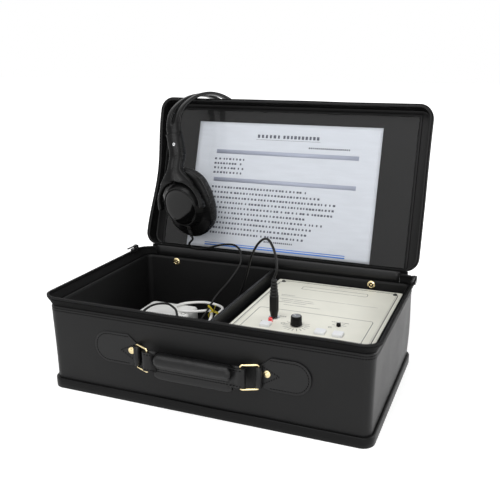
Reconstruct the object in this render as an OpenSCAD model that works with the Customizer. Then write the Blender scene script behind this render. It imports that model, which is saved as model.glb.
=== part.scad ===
// Screening audiometer in a carrying case: a tone generator with push buttons, its headset,
// its mains adapter and the instruction sheet in the lid pocket.
// Origin: centre of the case's underside. +X right, +Y to the back, +Z up. Millimetres.

/* [Case] */
// Outer width of the case walls
case_w = 421; // [405:1:440]
// Outer depth of the case walls, front to back
case_d = 244; // [236:1:256]
// Height of the leatherette wall, up to the zip tape
wall_top = 113.7; // [112:0.1:120]
// Thickness of a case wall
case_wall = 4; // [3:0.5:5]
// Outer corner radius of the case walls
case_r = 12; // [8:1:18]
// Height of the vinyl band round the foot
band_h = 13.3; // [8:0.1:20]
// How far the foot band stands out from the wall
band_out = 3; // [1.5:0.5:5]
// Thickness of the floor board
floor_t = 4; // [3:0.5:6]
// Thickness of the lining on the inside of the walls
lining_t = 0.8; // [0.5:0.1:1.2]
// Thickness of the board between the two compartments
divider_t = 5; // [4:0.5:7]
// Distance of the divider from the middle of the case
divider_x = 6.5; // [0:0.5:8]

/* [Zip] */
// Height of the zip tape above the wall
tape_h = 10.9; // [8:0.1:14]
// Thickness of the zip tape
tape_t = 1.6; // [1.2:0.1:2.4]
// How far the tape flares out at the front and the sides
tape_flare = 7.5; // [4:0.5:10]
// Height of the zip chain on top of the tape
chain_h = 3; // [2:0.5:4]
// Thickness of the zip chain
chain_t = 3; // [2.4:0.2:4]
// Length of a zip slider
slider_l = 14; // [10:1:18]
// Length of a slider's pull
pull_l = 24; // [16:1:30]

/* [Lid] */
// Width of the lid at its rim
lid_w = 431.4; // [425:0.2:433]
// Height of the lid from the hinge to its free edge
lid_h = 239.7; // [232:0.1:244]
// Depth of the lid tray
lid_depth = 25; // [20:0.5:30]
// Thickness of a lid wall
lid_wall = 3.5; // [2.5:0.5:5]
// Corner radius at the lid's free edge
lid_r = 20; // [12:1:26]
// How far the open lid leans back from upright
lid_lean = 18.25; // [12:0.25:22]
// Width of the instruction sheet, a landscape A4 sheet
sheet_w = 297; // [280:1:300]
// Visible height of the instruction sheet
sheet_h = 198; // [190:1:210]
// Distance of the sheet's centre from the lid's centre line
sheet_x = -4.9; // [-12:0.1:6]
// Gap between the vinyl pocket and the lid's side walls
pocket_gap = 12; // [9:0.5:20]
// Gap between the vinyl pocket and the lid's wall at its free edge
pocket_top_gap = 4.8; // [3:0.1:12]
// Width of the binding round the pocket
binding_w = 9; // [6:0.5:10]

/* [Tone generator] */
// Gap between the front panel and the divider
panel_gap_left = 9.85; // [6:0.05:14]
// Gap between the front panel and the right side of the case
panel_gap_right = 5.85; // [4:0.05:8]
// Gap between the front panel and the case, at the front and the back
panel_gap_y = 5.2; // [3:0.1:9]
// Thickness of the front panel
panel_t = 2.5; // [1.5:0.5:4]
// Height of the panel's top above the table
panel_z = 101.5; // [98:0.5:106]
// Wall of the generator's housing
housing_wall = 2.5; // [2:0.5:4]
// How far the housing stays inside the panel's edge
housing_inset = 3; // [2:0.5:5]
// Distance of the corner screws from the panel's edges
screw_inset = 9; // [7:0.5:12]
// Radius of the corner screws' shanks
screw_r = 1.6; // [1.2:0.1:2]
// Width of a push button
button_w = 12.5; // [10:0.5:14]
// Height of a push button above the panel
button_h = 5; // [3.5:0.5:7]
// How far a push button travels
button_travel = 2; // [1:0.5:3]
// Radius of the volume knob
knob_r = 7.2; // [6:0.2:10]
// Height of the volume knob
knob_h = 12; // [9:0.5:16]
// Radius of the frequency selector's knob
selector_r = 3; // [2.4:0.2:4]
// Radius of the indicator lamp
led_r = 2.5; // [2:0.1:3]

/* [Headphone plug] */
// Radius of the plug's shaft
plug_shaft_r = 3.15; // [2.5:0.05:3.5]
// Length of the plug's shaft
plug_shaft_l = 28; // [20:1:30]
// Radius of the plug's handle
plug_r = 5.5; // [4.5:0.1:6]
// Length of the plug's handle with its bend relief
plug_l = 51; // [46:1:56]

/* [Handle] */
// Radius of the padded grip
grip_r = 8.5; // [7:0.5:9.5]
// Length of the padded grip
grip_l = 104; // [96:2:112]
// Height of the handle's centre line above the table
handle_z = 67; // [60:1:72]
// Distance between the two anchor bars
anchor_span = 160; // [156:1:170]
// Distance between the two bars of a ring
ring_w = 21; // [18:0.5:24]
// Outer height of a ring
ring_h = 33; // [30:1:38]
// Thickness of the ring's wire
ring_wire = 2.6; // [2.2:0.1:3]
// Angle between a resting ring and the wall
ring_rest = 24; // [20:1:28]
// Length of a leather tab
tab_l = 62; // [50:1:66]
// Height of a leather tab
tab_h = 41; // [34:1:44]

/* [Headset] */
// Width of the headband
band_w = 27; // [24:1:30]
// Thickness of the headband
band_t = 5; // [4:0.5:6]
// Radius of the headband over the crown
crown_r = 120; // [110:2:130]
// Radius of the headband's shoulders
shoulder_r = 46; // [40:1:50]
// Width of the slot between the band's two rails
band_slot = 9; // [6:0.5:11]
// Length of a slider arm from its mouth down to the pivot
arm_l = 109; // [104:1:114]
// How far a slider arm can be drawn out
arm_travel = 15; // [10:1:15]
// Outer radius of an ear cup's rounded ends
cup_r = 44; // [42:0.5:46]
// How much taller than wide an ear cup is
cup_stretch = 20; // [14:1:22]
// Thickness of an ear cushion
cushion_t = 18; // [14:1:20]
// Depth of an ear cup's shell behind the cushion
shell_t = 21; // [18:1:23]
// Radius of an ear cup's round outer plate
plate_r = 30; // [26:0.5:32]
// How far an ear cup's top leans outwards at rest
cup_toe = 10; // [6:1:12]

/* [Mains adapter] */
// Width of the adapter
adapter_w = 77; // [65:1:80]
// Depth of the adapter
adapter_d = 78; // [65:1:82]
// Height of the adapter
adapter_h = 57; // [48:1:60]
// Corner radius of the adapter
adapter_r = 8; // [4:1:12]

/* [Cords] */
// Radius of the headset's cord
cord_r = 1.6; // [1.2:0.1:1.8]
// Radius of the adapter's white cord
white_r = 2; // [1.6:0.1:2.2]

/* [Hidden] */
$fn = 64;
e = 0.01;
fit = 0.3;                 // clearance between pieces that move or stay apart
bore_gap = 0.1;            // clearance of a running fit
rim_z = wall_top + tape_h + chain_h;
back_flare = 1;
rim_w = case_w + 2 * tape_flare;
rim_front = -case_d / 2 - tape_flare;
rim_back = case_d / 2 + back_flare;
rim_d = rim_back - rim_front;
rim_y = (rim_front + rim_back) / 2;
rim_r = case_r + 10;
hinge_y = case_d / 2 + 2;
hinge_r = 1.6;
hinge_half = case_w / 2 - 18;
foot_z = 1.5;              // thickness of the vinyl under the floor board
floor_z = foot_z + floor_t;
in_w = case_w - 2 * case_wall;
in_d = case_d - 2 * case_wall;
clear_w = in_w - 2 * lining_t;
clear_d = in_d - 2 * lining_t;

// ---- shared shapes ----------------------------------------------------------------------

// A rectangle with round corners, centred
module rounded(w, d, r) {
    square([w - 2 * r, d], center = true);
    square([w, d - 2 * r], center = true);
    for (x = [-1, 1], y = [-1, 1])
        translate([x * (w / 2 - r), y * (d / 2 - r)])
            circle(r);
}

// A wall of thickness t that follows a rounded rectangle
module ring2d(w, d, r, t) {
    difference() {
        rounded(w, d, r);
        rounded(w - 2 * t, d - 2 * t, max(r - t, 1));
    }
}

// A thin rounded slab, used as one end of a flared tape
module slab(w, d, r, y, z) {
    translate([0, y, z])
        linear_extrude(e)
            rounded(w, d, r);
}

// ---- cord functions -----------------------------------------------------------------------

function unit(v) = v / norm(v);
// Point at share t between points b and c of a smooth curve through a, b, c and d
function smooth(a, b, c, d, t) =
    0.5 * (2 * b + (c - a) * t + (2 * a - 5 * b + 4 * c - d) * t * t
        + (3 * b - a - 3 * c + d) * t * t * t);
// n + 1 points along the smooth curve through the route points p
function along(p, n) = [
    for (i = [0:n])
        let (
            s = i / n * (len(p) - 1),
            k = min(floor(s), len(p) - 2),
            a = p[max(k - 1, 0)],
            d = p[min(k + 2, len(p) - 1)]
        )
        smooth(a, p[k], p[k + 1], d, s - k)
];
function headings(q) = [
    for (i = [0:len(q) - 1])
        unit(q[min(i + 1, len(q) - 1)] - q[max(i - 1, 0)])
];
function side_of(t) = abs(t[2]) > 0.9 ? unit(cross(t, [1, 0, 0])) : unit(cross(t, [0, 0, 1]));
// Side vectors carried along the cord so that the tube doesn't twist
function sides(t, i = 0, last = [0, 0, 0], out = []) =
    i == len(t) ? out
    : let (s = i == 0 ? side_of(t[0]) : unit(last - (last * t[i]) * t[i]))
        sides(t, i + 1, s, concat(out, [s]));

module cord(route, n, r) {
    q = along(route, n);
    t = headings(q);
    s = sides(t);
    m = 8;
    pts = [
        for (i = [0:n], j = [0:m - 1])
            q[i] + r * (cos(j * 360 / m) * s[i] + sin(j * 360 / m) * cross(t[i], s[i]))
    ];
    walls = [
        for (i = [0:n - 1], j = [0:m - 1])
            [i * m + j, (i + 1) * m + j, (i + 1) * m + (j + 1) % m, i * m + (j + 1) % m]
    ];
    first = [for (j = [0:m - 1]) j];
    final = [for (j = [0:m - 1]) n * m + m - 1 - j];
    polyhedron(points = pts, faces = concat([first], walls, [final]), convexity = 8);
}

// ---- case ---------------------------------------------------------------------------------

module case_walls() {
    color("#2b2b2c")
        translate([0, 0, foot_z])
            linear_extrude(wall_top - foot_z)
                ring2d(case_w, case_d, case_r, case_wall);
}

module case_floor() {
    color("#1c1c1c")
        translate([0, 0, foot_z])
            linear_extrude(floor_t)
                rounded(in_w - e, in_d - e, case_r - case_wall);
}

// Vinyl band round the foot, closed underneath
module foot_band() {
    color("#161616") {
        linear_extrude(foot_z)
            rounded(case_w + 2 * band_out, case_d + 2 * band_out, case_r + band_out);
        translate([0, 0, foot_z])
            linear_extrude(band_h - foot_z)
                ring2d(case_w + 2 * band_out, case_d + 2 * band_out, case_r + band_out, band_out);
    }
}

module inner_lining() {
    color("#141414") {
        translate([0, 0, floor_z + lining_t])
            linear_extrude(wall_top - floor_z - lining_t)
                ring2d(in_w, in_d, case_r - case_wall, lining_t);
        translate([0, 0, floor_z])
            linear_extrude(lining_t)
                rounded(in_w, in_d, case_r - case_wall);
    }
}

base_z = floor_z + lining_t;     // what lies in the case stands on this

module divider() {
    color("#202020")
        translate([divider_x - divider_t / 2, -clear_d / 2, base_z])
            cube([divider_t, clear_d, wall_top - base_z]);
}

snap_x = [-156, 154];
snap_z = 107.5;
snap_r = 6;
snap_t = 2.2;
// Two metal snap sockets on the lining of the back wall
module wall_snaps() {
    color("#cdb878")
        for (x = snap_x)
            translate([x, clear_d / 2, snap_z])
                rotate([90, 0, 0])
                    difference() {
                        union() {
                            cylinder(r = snap_r, h = snap_t / 2);
                            cylinder(r = snap_r * 0.7, h = snap_t);
                        }
                        translate([0, 0, snap_t / 2])
                            cylinder(r = snap_r * 0.4, h = snap_t);
                    }
}

// Leatherette strip on the back wall, with the bead that the lid turns on
module hinge_strip() {
    color("#1a1a1a") {
        translate([-hinge_half, case_d / 2 - 2, wall_top])
            cube([2 * hinge_half, 2.5, rim_z - wall_top]);
        translate([-hinge_half, hinge_y, rim_z])
            rotate([0, 90, 0])
                cylinder(r = hinge_r, h = 2 * hinge_half);
    }
}

// Space of the hinge strip, kept free of tape and chain
module hinge_gap() {
    translate([-hinge_half - fit, case_d / 2 - 12, wall_top - 1])
        cube([2 * (hinge_half + fit), 30, 30]);
}

module zip_tape_case() {
    inner_w = case_w - 2 * tape_t;
    inner_d = case_d - 2 * tape_t;
    color("#101010")
        difference() {
            hull() {
                slab(case_w, case_d, case_r, 0, wall_top);
                slab(rim_w, rim_d, rim_r, rim_y, wall_top + tape_h - e);
            }
            hull() {
                slab(inner_w, inner_d, case_r - tape_t, 0, wall_top - e);
                slab(rim_w - 2 * tape_t, rim_d - 2 * tape_t, rim_r - tape_t, rim_y, wall_top + tape_h);
            }
            hinge_gap();
        }
}

module zip_chain_case() {
    color("#1d1d1d")
        difference() {
            translate([0, rim_y, wall_top + tape_h])
                linear_extrude(chain_h)
                    ring2d(rim_w, rim_d, rim_r, chain_t);
            hinge_gap();
        }
}

slider_wall = 1.4;
slider_top = 1.6;
slider_y = rim_back - rim_r - slider_l / 2;
slider_x = rim_w / 2 - chain_t / 2;
slider_half = chain_t / 2 + fit + slider_wall;
slider_z0 = wall_top + tape_h + fit;
slider_z1 = rim_z + fit + slider_top;
eye_r = 1.2;
eye_z = slider_z1 + eye_r + 1.1 + fit;
cheek_t = 1.4;
pull_w = 2 * slider_half - 2 * cheek_t - 2 * fit;
pull_t = 1.6;

// Slider that straddles the chain, with two cheeks and a pin for its pull; side is -1 or 1
module zip_slider(side) {
    color("#26262a")
        translate([side * slider_x, slider_y, 0]) {
            difference() {
                translate([-slider_half, -slider_l / 2, slider_z0])
                    cube([2 * slider_half, slider_l, slider_z1 - slider_z0]);
                translate([-chain_t / 2 - fit, -slider_l, slider_z0 - 1])
                    cube([chain_t + 2 * fit, 2 * slider_l, rim_z + fit - slider_z0 + 1]);
            }
            for (x = [-slider_half, slider_half - cheek_t])
                translate([x, 2, slider_z1 - 1])
                    cube([cheek_t, 4, eye_z + eye_r + 1.3 - slider_z1]);
            translate([0, 4, eye_z])
                rotate([0, 90, 0])
                    cylinder(r = eye_r, h = 2 * slider_half - 1, center = true);
        }
}
module zip_slider_left() zip_slider(-1);
module zip_slider_right() zip_slider(1);

// Pull that lies along the chain and turns on the slider's pin
module zip_pull(side) {
    color("#26262a")
        translate([side * slider_x, slider_y + 4, eye_z])
            difference() {
                union() {
                    rotate([0, 90, 0])
                        cylinder(r = eye_r + 1.1, h = pull_w, center = true);
                    translate([-pull_w / 2, -pull_l, 0.2])
                        cube([pull_w, pull_l, pull_t]);
                }
                rotate([0, 90, 0])
                    cylinder(r = eye_r + bore_gap, h = pull_w + 2, center = true);
            }
}
module zip_pull_left() zip_pull(-1);
module zip_pull_right() zip_pull(1);

// ---- handle -------------------------------------------------------------------------------

wall_y = -case_d / 2;
anchor_y = wall_y - 5;                            // centre of the bar in the tab's fold
bar_y = anchor_y - ring_w * sin(ring_rest);       // centre of the bar in the grip's loop
bar_x = anchor_span / 2 - ring_w * cos(ring_rest);
tab_t = 2.5;
fold_h = ring_h - 2 * ring_wire - 2;
fold_r = 4.2;
tab_end_r = tab_h / 2;
rivet_x = anchor_span / 2 + 9;
rivet_r = 4.5;

// One leather tab: round outer end, tapered towards the fold that holds the ring
module handle_tab(side) {
    taper = 14;
    difference() {
        union() {
            translate([0, wall_y, handle_z + 4])
                rotate([90, 0, 0])
                    linear_extrude(tab_t) {
                        translate([side * (anchor_span / 2 + tab_l - tab_end_r), 0])
                            circle(tab_end_r);
                        polygon([
                            [side * (anchor_span / 2), -fold_h / 2 - 4],
                            [side * (anchor_span / 2 + taper), -tab_h / 2],
                            [side * (anchor_span / 2 + tab_l - tab_end_r), -tab_h / 2],
                            [side * (anchor_span / 2 + tab_l - tab_end_r), tab_h / 2],
                            [side * (anchor_span / 2 + taper), tab_h / 2],
                            [side * (anchor_span / 2), fold_h / 2 - 4]
                        ]);
                    }
            translate([side * anchor_span / 2, anchor_y, handle_z])
                cylinder(r = fold_r, h = fold_h, center = true);
        }
        translate([side * anchor_span / 2, anchor_y, handle_z])
            cylinder(r = ring_wire / 2 + bore_gap, h = tab_h + 20, center = true);
        // slit that lets the ring swing
        translate([side * anchor_span / 2, wall_y - tab_t - fold_r * 2, handle_z + fold_h / 2])
            translate([-8, 0, 0])
                cube([16, fold_r * 2 + tab_t - 0.8, tab_h]);
        translate([side * anchor_span / 2, wall_y - tab_t - fold_r * 2, handle_z - fold_h / 2 - tab_h])
            translate([-8, 0, 0])
                cube([16, fold_r * 2 + tab_t - 0.8, tab_h]);
    }
}
module handle_tabs() {
    color("#1f1f20")
        for (side = [-1, 1])
            handle_tab(side);
}

module tab_rivets() {
    color("#cdb878")
        for (side = [-1, 1])
            translate([side * rivet_x, wall_y - tab_t, handle_z + 4])
                rotate([90, 0, 0]) {
                    cylinder(r = rivet_r, h = 0.8);
                    cylinder(r = rivet_r * 0.6, h = 1.6);
                }
}

// Rectangular ring of round wire between the tab's fold and the grip's loop
module handle_ring(side) {
    top = ring_h / 2 - ring_wire / 2;
    color("#cdb878")
        translate([side * anchor_span / 2, anchor_y, handle_z])
            rotate([0, 0, side * ring_rest]) {
                for (x = [0, -side * ring_w])
                    translate([x, 0, 0])
                        cylinder(d = ring_wire, h = 2 * top, center = true);
                for (z = [-top, top]) {
                    translate([-side * ring_w / 2, 0, z])
                        rotate([0, 90, 0])
                            cylinder(d = ring_wire, h = ring_w, center = true);
                    for (x = [0, -side * ring_w])
                        translate([x, 0, z])
                            sphere(d = ring_wire);
                }
            }
}
module handle_ring_left() handle_ring(-1);
module handle_ring_right() handle_ring(1);

loop_t = 2;
slot_l = 9;
slot_w = ring_wire + 1.8;
loop_h = ring_h - 2 * ring_wire - 4;
loop_end = bar_x + slot_l / 2 + loop_t;
loop_in = 5;                                      // how far a loop is sewn into the grip
flap_t = 4;
flap_drop = 21;
roll_up = 3.5;                                    // height of the padded roll above the rings' middle
roll_end = 4;
// Padded grip with a flat flap below it and a loop at each end
module handle_grip() {
    color("#1b1b1c")
        difference() {
            union() {
                translate([0, bar_y, handle_z + roll_up])
                    rotate([0, 90, 0])
                        rotate_extrude()
                            polygon([
                                [0, -grip_l / 2 - roll_end],
                                [grip_r - roll_end, -grip_l / 2 - roll_end],
                                [grip_r, -grip_l / 2],
                                [grip_r, grip_l / 2],
                                [grip_r - roll_end, grip_l / 2 + roll_end],
                                [0, grip_l / 2 + roll_end]
                            ]);
                translate([-grip_l / 2, bar_y - flap_t / 2, handle_z - flap_drop])
                    cube([grip_l, flap_t, flap_drop]);
                for (x = [-1, 1])
                    translate([x * (grip_l / 2 - loop_in + loop_end) / 2, bar_y, handle_z])
                        cube([loop_end - grip_l / 2 + loop_in, slot_w + 2 * loop_t, loop_h],
                            center = true);
            }
            // slots for the rings' bars
            for (x = [-1, 1])
                translate([x * (bar_x + 0.7), bar_y, handle_z])
                    cube([slot_l, slot_w, ring_h + 20], center = true);
            // room for the rings' top and bottom wires
            for (x = [-1, 1], z = [-1, 1])
                translate([x * (bar_x + 3), bar_y, handle_z + z * (loop_h / 2 + ring_h / 2)])
                    cube([22, 4 * grip_r, ring_h], center = true);
        }
}

// ---- lid ----------------------------------------------------------------------------------

board_t = 3;
lid_tape_t = 1.7;
lid_tape_d = 12;
lid_gap = 0.6;                                    // gap between the lid's rim and the hinge plane
lid_v0 = hinge_r + lid_gap;
lid_face = lid_depth - board_t;                   // depth of the board's front face
pocket_v0 = lid_v0 + lid_tape_t + lid_wall + fit;
pocket_w = lid_w - 2 * (lid_tape_t + lid_wall + pocket_gap);
pocket_h = lid_h - lid_tape_t - lid_wall - pocket_top_gap - pocket_v0;
binding_t = 0.6;
binding_rim = 1;
window_t = 0.4;
sheet_t = 0.3;
sheet_v0 = pocket_v0 + binding_rim + fit;

// Places children on the open lid: X across, Y into the lid's depth, Z from hinge to free edge
module on_lid() {
    translate([0, hinge_y, rim_z])
        rotate([-lid_lean, 0, 0])
            children();
}

// Extrudes a shape drawn across the lid from depth d0 to d1
module lid_layer(d0, d1) {
    translate([0, d1, 0])
        rotate([90, 0, 0])
            linear_extrude(d1 - d0)
                children();
}

module lid_outline(inset) {
    translate([0, (lid_v0 + lid_h) / 2])
        rounded(lid_w - 2 * inset, lid_h - lid_v0 - 2 * inset, lid_r - inset);
}

module lid_board() {
    color("#232324")
        on_lid()
            lid_layer(lid_face, lid_depth)
                lid_outline(lid_tape_t);
}

module lid_walls() {
    color("#232324")
        on_lid()
            lid_layer(lid_gap, lid_face)
                difference() {
                    lid_outline(lid_tape_t);
                    lid_outline(lid_tape_t + lid_wall);
                }
}

module lid_zip_tape() {
    color("#101010")
        on_lid()
            lid_layer(lid_gap, lid_tape_d)
                difference() {
                    lid_outline(0);
                    lid_outline(lid_tape_t);
                }
}

module pocket_outline(inset) {
    translate([0, pocket_v0 + pocket_h / 2])
        square([pocket_w - 2 * inset, pocket_h - 2 * inset], center = true);
}

module pocket_binding() {
    front = lid_face - 3 * binding_t;
    color("#191919")
        on_lid() {
            lid_layer(front, front + binding_t)
                difference() {
                    pocket_outline(0);
                    pocket_outline(binding_w);
                }
            lid_layer(front + binding_t, lid_face)
                difference() {
                    pocket_outline(0);
                    pocket_outline(binding_rim);
                }
        }
}

module pocket_window() {
    front = lid_face - 2 * binding_t;
    color("#c8d0d4", 0.3)
        on_lid()
            lid_layer(front, front + window_t)
                pocket_outline(binding_rim);
}

module instruction_sheet() {
    color("#d8dbe0")
        on_lid()
            lid_layer(lid_face - sheet_t - 0.2, lid_face - 0.2)
                translate([sheet_x, sheet_v0 + sheet_h / 2])
                    square([sheet_w, sheet_h], center = true);
}

// ---- tone generator -------------------------------------------------------------------------

unit_left = divider_x + divider_t / 2 + panel_gap_left;
unit_right = clear_w / 2 - panel_gap_right;
panel_w = unit_right - unit_left;
panel_d = clear_d - 2 * panel_gap_y;
unit_x = (unit_left + unit_right) / 2;
under = panel_z - panel_t;                        // height of the panel's underside
house_w = panel_w - 2 * housing_inset;
house_d = panel_d - 2 * housing_inset;
boss_r = screw_r + 3;
screw_x = panel_w / 2 - screw_inset;
screw_y = panel_d / 2 - screw_inset;
screw_l = 14;

// Places of the controls, from the middle of the panel
lamp_at = [-46, -46];
jack_at = [-45.5, -34];
volume_at = [-11.5, -47.5];
selector_at = [37.5, -31];
button_at = [[-47.5, -58.5], [22, -58], [44, -58]];

bush_r = 5;
nut_r = 7;
nut_h = 1.6;
volume_bush_r = 3.6;
volume_shaft_r = 3;
selector_bush_r = 2.4;
selector_shaft_r = 1.4;
button_hole = button_w + 2 * fit;
switch_w = button_w + 4;
switch_d = 13;
cap_skirt = 6;                                    // depth of a button's skirt in its switch

module on_panel(at) {
    translate([unit_x + at[0], at[1], 0])
        children();
}

module at_screws() {
    for (x = [-1, 1], y = [-1, 1])
        translate([unit_x + x * screw_x, y * screw_y, 0])
            children();
}

module housing() {
    color("#1f1f20")
        difference() {
            union() {
                difference() {
                    translate([unit_x - house_w / 2, -house_d / 2, base_z])
                        cube([house_w, house_d, under - base_z]);
                    translate([unit_x - house_w / 2 + housing_wall, -house_d / 2 + housing_wall,
                            base_z + housing_wall])
                        cube([house_w - 2 * housing_wall, house_d - 2 * housing_wall, under]);
                }
                at_screws()
                    translate([0, 0, base_z + 1])
                        cylinder(r = boss_r, h = under - base_z - 1);
            }
            at_screws()
                translate([0, 0, under - screw_l])
                    cylinder(r = screw_r + bore_gap, h = screw_l + 1);
        }
}

module front_panel() {
    color("#ecece2")
        translate([0, 0, under])
            difference() {
                translate([unit_x, 0, 0])
                    linear_extrude(panel_t)
                        rounded(panel_w, panel_d, 2);
                at_screws()
                    translate([0, 0, -1])
                        cylinder(r = screw_r + fit, h = panel_t + 2);
                on_panel(lamp_at)
                    translate([0, 0, -1])
                        cylinder(r = led_r + bore_gap, h = panel_t + 2);
                on_panel(jack_at)
                    translate([0, 0, -1])
                        cylinder(r = bush_r + bore_gap, h = panel_t + 2);
                on_panel(volume_at)
                    translate([0, 0, -1])
                        cylinder(r = volume_bush_r + bore_gap, h = panel_t + 2);
                on_panel(selector_at)
                    translate([0, 0, -1])
                        cylinder(r = selector_bush_r + bore_gap, h = panel_t + 2);
                for (at = button_at)
                    on_panel(at)
                        translate([-button_hole / 2, -button_hole / 2, -1])
                            cube([button_hole, button_hole, panel_t + 2]);
            }
}

module panel_screws() {
    color("#1a1a1a")
        at_screws()
            difference() {
                union() {
                    translate([0, 0, under - screw_l + 2])
                        cylinder(r = screw_r, h = screw_l - 2 + panel_t);
                    translate([0, 0, panel_z])
                        cylinder(r1 = 2 * screw_r, r2 = 1.3 * screw_r, h = 1.6);
                }
                for (a = [0, 90])
                    rotate([0, 0, a])
                        translate([-1.4, -0.35, panel_z + 0.8])
                            cube([2.8, 0.7, 2]);
            }
}

pcb_w = 140;
pcb_d = 100;
pcb_t = 1.6;
pcb_z = under - 22;
pcb_y = 48;
post_in = 6;
post_r = 3;
post_x = pcb_w / 2 - post_in;
post_y = pcb_d / 2 - post_in;
chip = [20, 8, 4];
chip_pitch = 36;
can_r = 5;
can_h = 12;
can_x = [-44, -26, 26, 44];
can_y = 26;
// Board with its main chips, hung under the panel
module circuit_board() {
    color("#2c6b3c")
        translate([unit_x, pcb_y, pcb_z - pcb_t]) {
            translate([-pcb_w / 2, -pcb_d / 2, 0])
                cube([pcb_w, pcb_d, pcb_t]);
            for (i = [-1, 0, 1])
                translate([i * chip_pitch - chip[0] / 2, -chip[1], pcb_t])
                    cube(chip);
            for (x = can_x)
                translate([x, can_y, pcb_t])
                    cylinder(r = can_r, h = can_h);
        }
}

module board_standoffs() {
    color("#c9b060")
        for (x = [-1, 1], y = [-1, 1])
            translate([unit_x + x * post_x, pcb_y + y * post_y, pcb_z])
                cylinder(r = post_r, h = under - pcb_z);
}

module indicator_lamp() {
    color("#d81c1c")
        on_panel(lamp_at) {
            translate([0, 0, under - 5])
                cylinder(r = led_r, h = 5 + panel_t + 1.6);
            translate([0, 0, panel_z + 1.6])
                sphere(r = led_r);
            translate([0, 0, under - 6])
                cylinder(r = led_r + 0.5, h = 6);
        }
}

pot_r = 8.5;
pot_h = 10;
module volume_control() {
    color("#8d8f92")
        on_panel(volume_at)
            difference() {
                union() {
                    translate([0, 0, under - pot_h])
                        cylinder(r = pot_r, h = pot_h);
                    translate([0, 0, under - e])
                        cylinder(r = volume_bush_r, h = panel_t + 0.8);
                }
                translate([0, 0, under - pot_h + 1.5])
                    cylinder(r = volume_shaft_r + bore_gap, h = pot_h + panel_t + 2);
            }
}

knob_z = panel_z + 1.2;
cap_h = 1.2;
module volume_knob() {
    color("#1b1b1c")
        on_panel(volume_at)
            difference() {
                union() {
                    translate([0, 0, knob_z])
                        cylinder(r1 = knob_r, r2 = knob_r - 0.7, h = knob_h);
                    translate([0, 0, under - pot_h + 1.7])
                        cylinder(r = volume_shaft_r, h = knob_z - under + pot_h);
                }
                translate([0, 0, knob_z + knob_h - cap_h])
                    cylinder(r = knob_r - 1.6, h = cap_h + 1);
            }
}

module knob_cap() {
    color("#75787c")
        on_panel(volume_at)
            translate([0, 0, knob_z + knob_h - cap_h])
                cylinder(r = knob_r - 1.6 - bore_gap, h = cap_h);
}

selector_h = 4;
module frequency_switch() {
    color("#3c5a86")
        on_panel(selector_at)
            difference() {
                union() {
                    translate([-6, -6, under - 9])
                        cube([12, 12, 9]);
                    translate([0, 0, under - e])
                        cylinder(r = selector_bush_r, h = panel_t);
                }
                translate([0, 0, under - 7])
                    cylinder(r = selector_shaft_r + bore_gap, h = 8 + panel_t);
            }
}

module frequency_knob() {
    color("#1b1b1c")
        on_panel(selector_at) {
            translate([0, 0, panel_z + fit])
                cylinder(r = selector_r, h = selector_h);
            translate([0, 0, under - 6.5])
                cylinder(r = selector_shaft_r, h = 7 + panel_t);
            translate([-0.5, 0, panel_z + fit + selector_h - e])
                cube([1, selector_r, 0.5]);
        }
}

module push_button(i) {
    color("#f1f1ec")
        on_panel(button_at[i]) {
            translate([0, 0, panel_z + button_h / 2])
                cube([button_w, button_w, button_h], center = true);
            translate([-button_w / 2, -button_w / 2, panel_z - cap_skirt])
                cube([button_w, button_w, cap_skirt + e]);
        }
}
module button_left() push_button(0);
module button_middle() push_button(1);
module button_right() push_button(2);

// Switch bodies fixed under the panel, each with a well for its button's skirt
module button_switches() {
    well_z = panel_z - cap_skirt - button_travel - fit;
    color("#2a2a2a")
        for (at = button_at)
            on_panel(at)
                difference() {
                    translate([-switch_w / 2, -switch_w / 2, under - switch_d])
                        cube([switch_w, switch_w, switch_d]);
                    translate([-button_hole / 2, -button_hole / 2, well_z])
                        cube([button_hole, button_hole, switch_d]);
                }
}

module phone_jack() {
    color("#9a9c9e")
        on_panel(jack_at)
            difference() {
                union() {
                    translate([0, 0, under - plug_shaft_l])
                        cylinder(r = bush_r + 2.5, h = plug_shaft_l);
                    translate([0, 0, under - e])
                        cylinder(r = bush_r, h = panel_t + e);
                    translate([0, 0, panel_z])
                        cylinder(r = nut_r, h = nut_h);
                }
                translate([0, 0, under - plug_shaft_l + 1.5])
                    cylinder(r = plug_shaft_r + bore_gap, h = plug_shaft_l + panel_t + nut_h);
            }
}

plug_z = panel_z + nut_h + fit;
module plug_shaft() {
    color("#c9cacc")
        on_panel(jack_at)
            translate([0, 0, plug_z - plug_shaft_l])
                cylinder(r = plug_shaft_r, h = plug_shaft_l);
}

barrel_l = 31;
// Handle of the plug: a barrel and a ribbed bend relief
module plug_handle() {
    relief_l = plug_l - barrel_l;
    color("#141414")
        on_panel(jack_at)
            translate([0, 0, plug_z]) {
                cylinder(r1 = plug_r - 1.2, r2 = plug_r, h = 8);
                translate([0, 0, 8])
                    cylinder(r = plug_r, h = barrel_l - 8);
                translate([0, 0, barrel_l])
                    cylinder(r1 = plug_r - 0.8, r2 = cord_r + 1, h = relief_l);
            }
}

battery_w = 26.5;
battery_d = 48.5;
battery_h = 17.5;
module battery() {
    color("#3f4a52")
        translate([unit_x - house_w / 2 + housing_wall + 14, 20, base_z + housing_wall])
            cube([battery_w, battery_d, battery_h]);
}

// ---- headset ----------------------------------------------------------------------------------
// Drawn hanging upright with its crown at the origin: X across the band, -Y towards the front cup.

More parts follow.
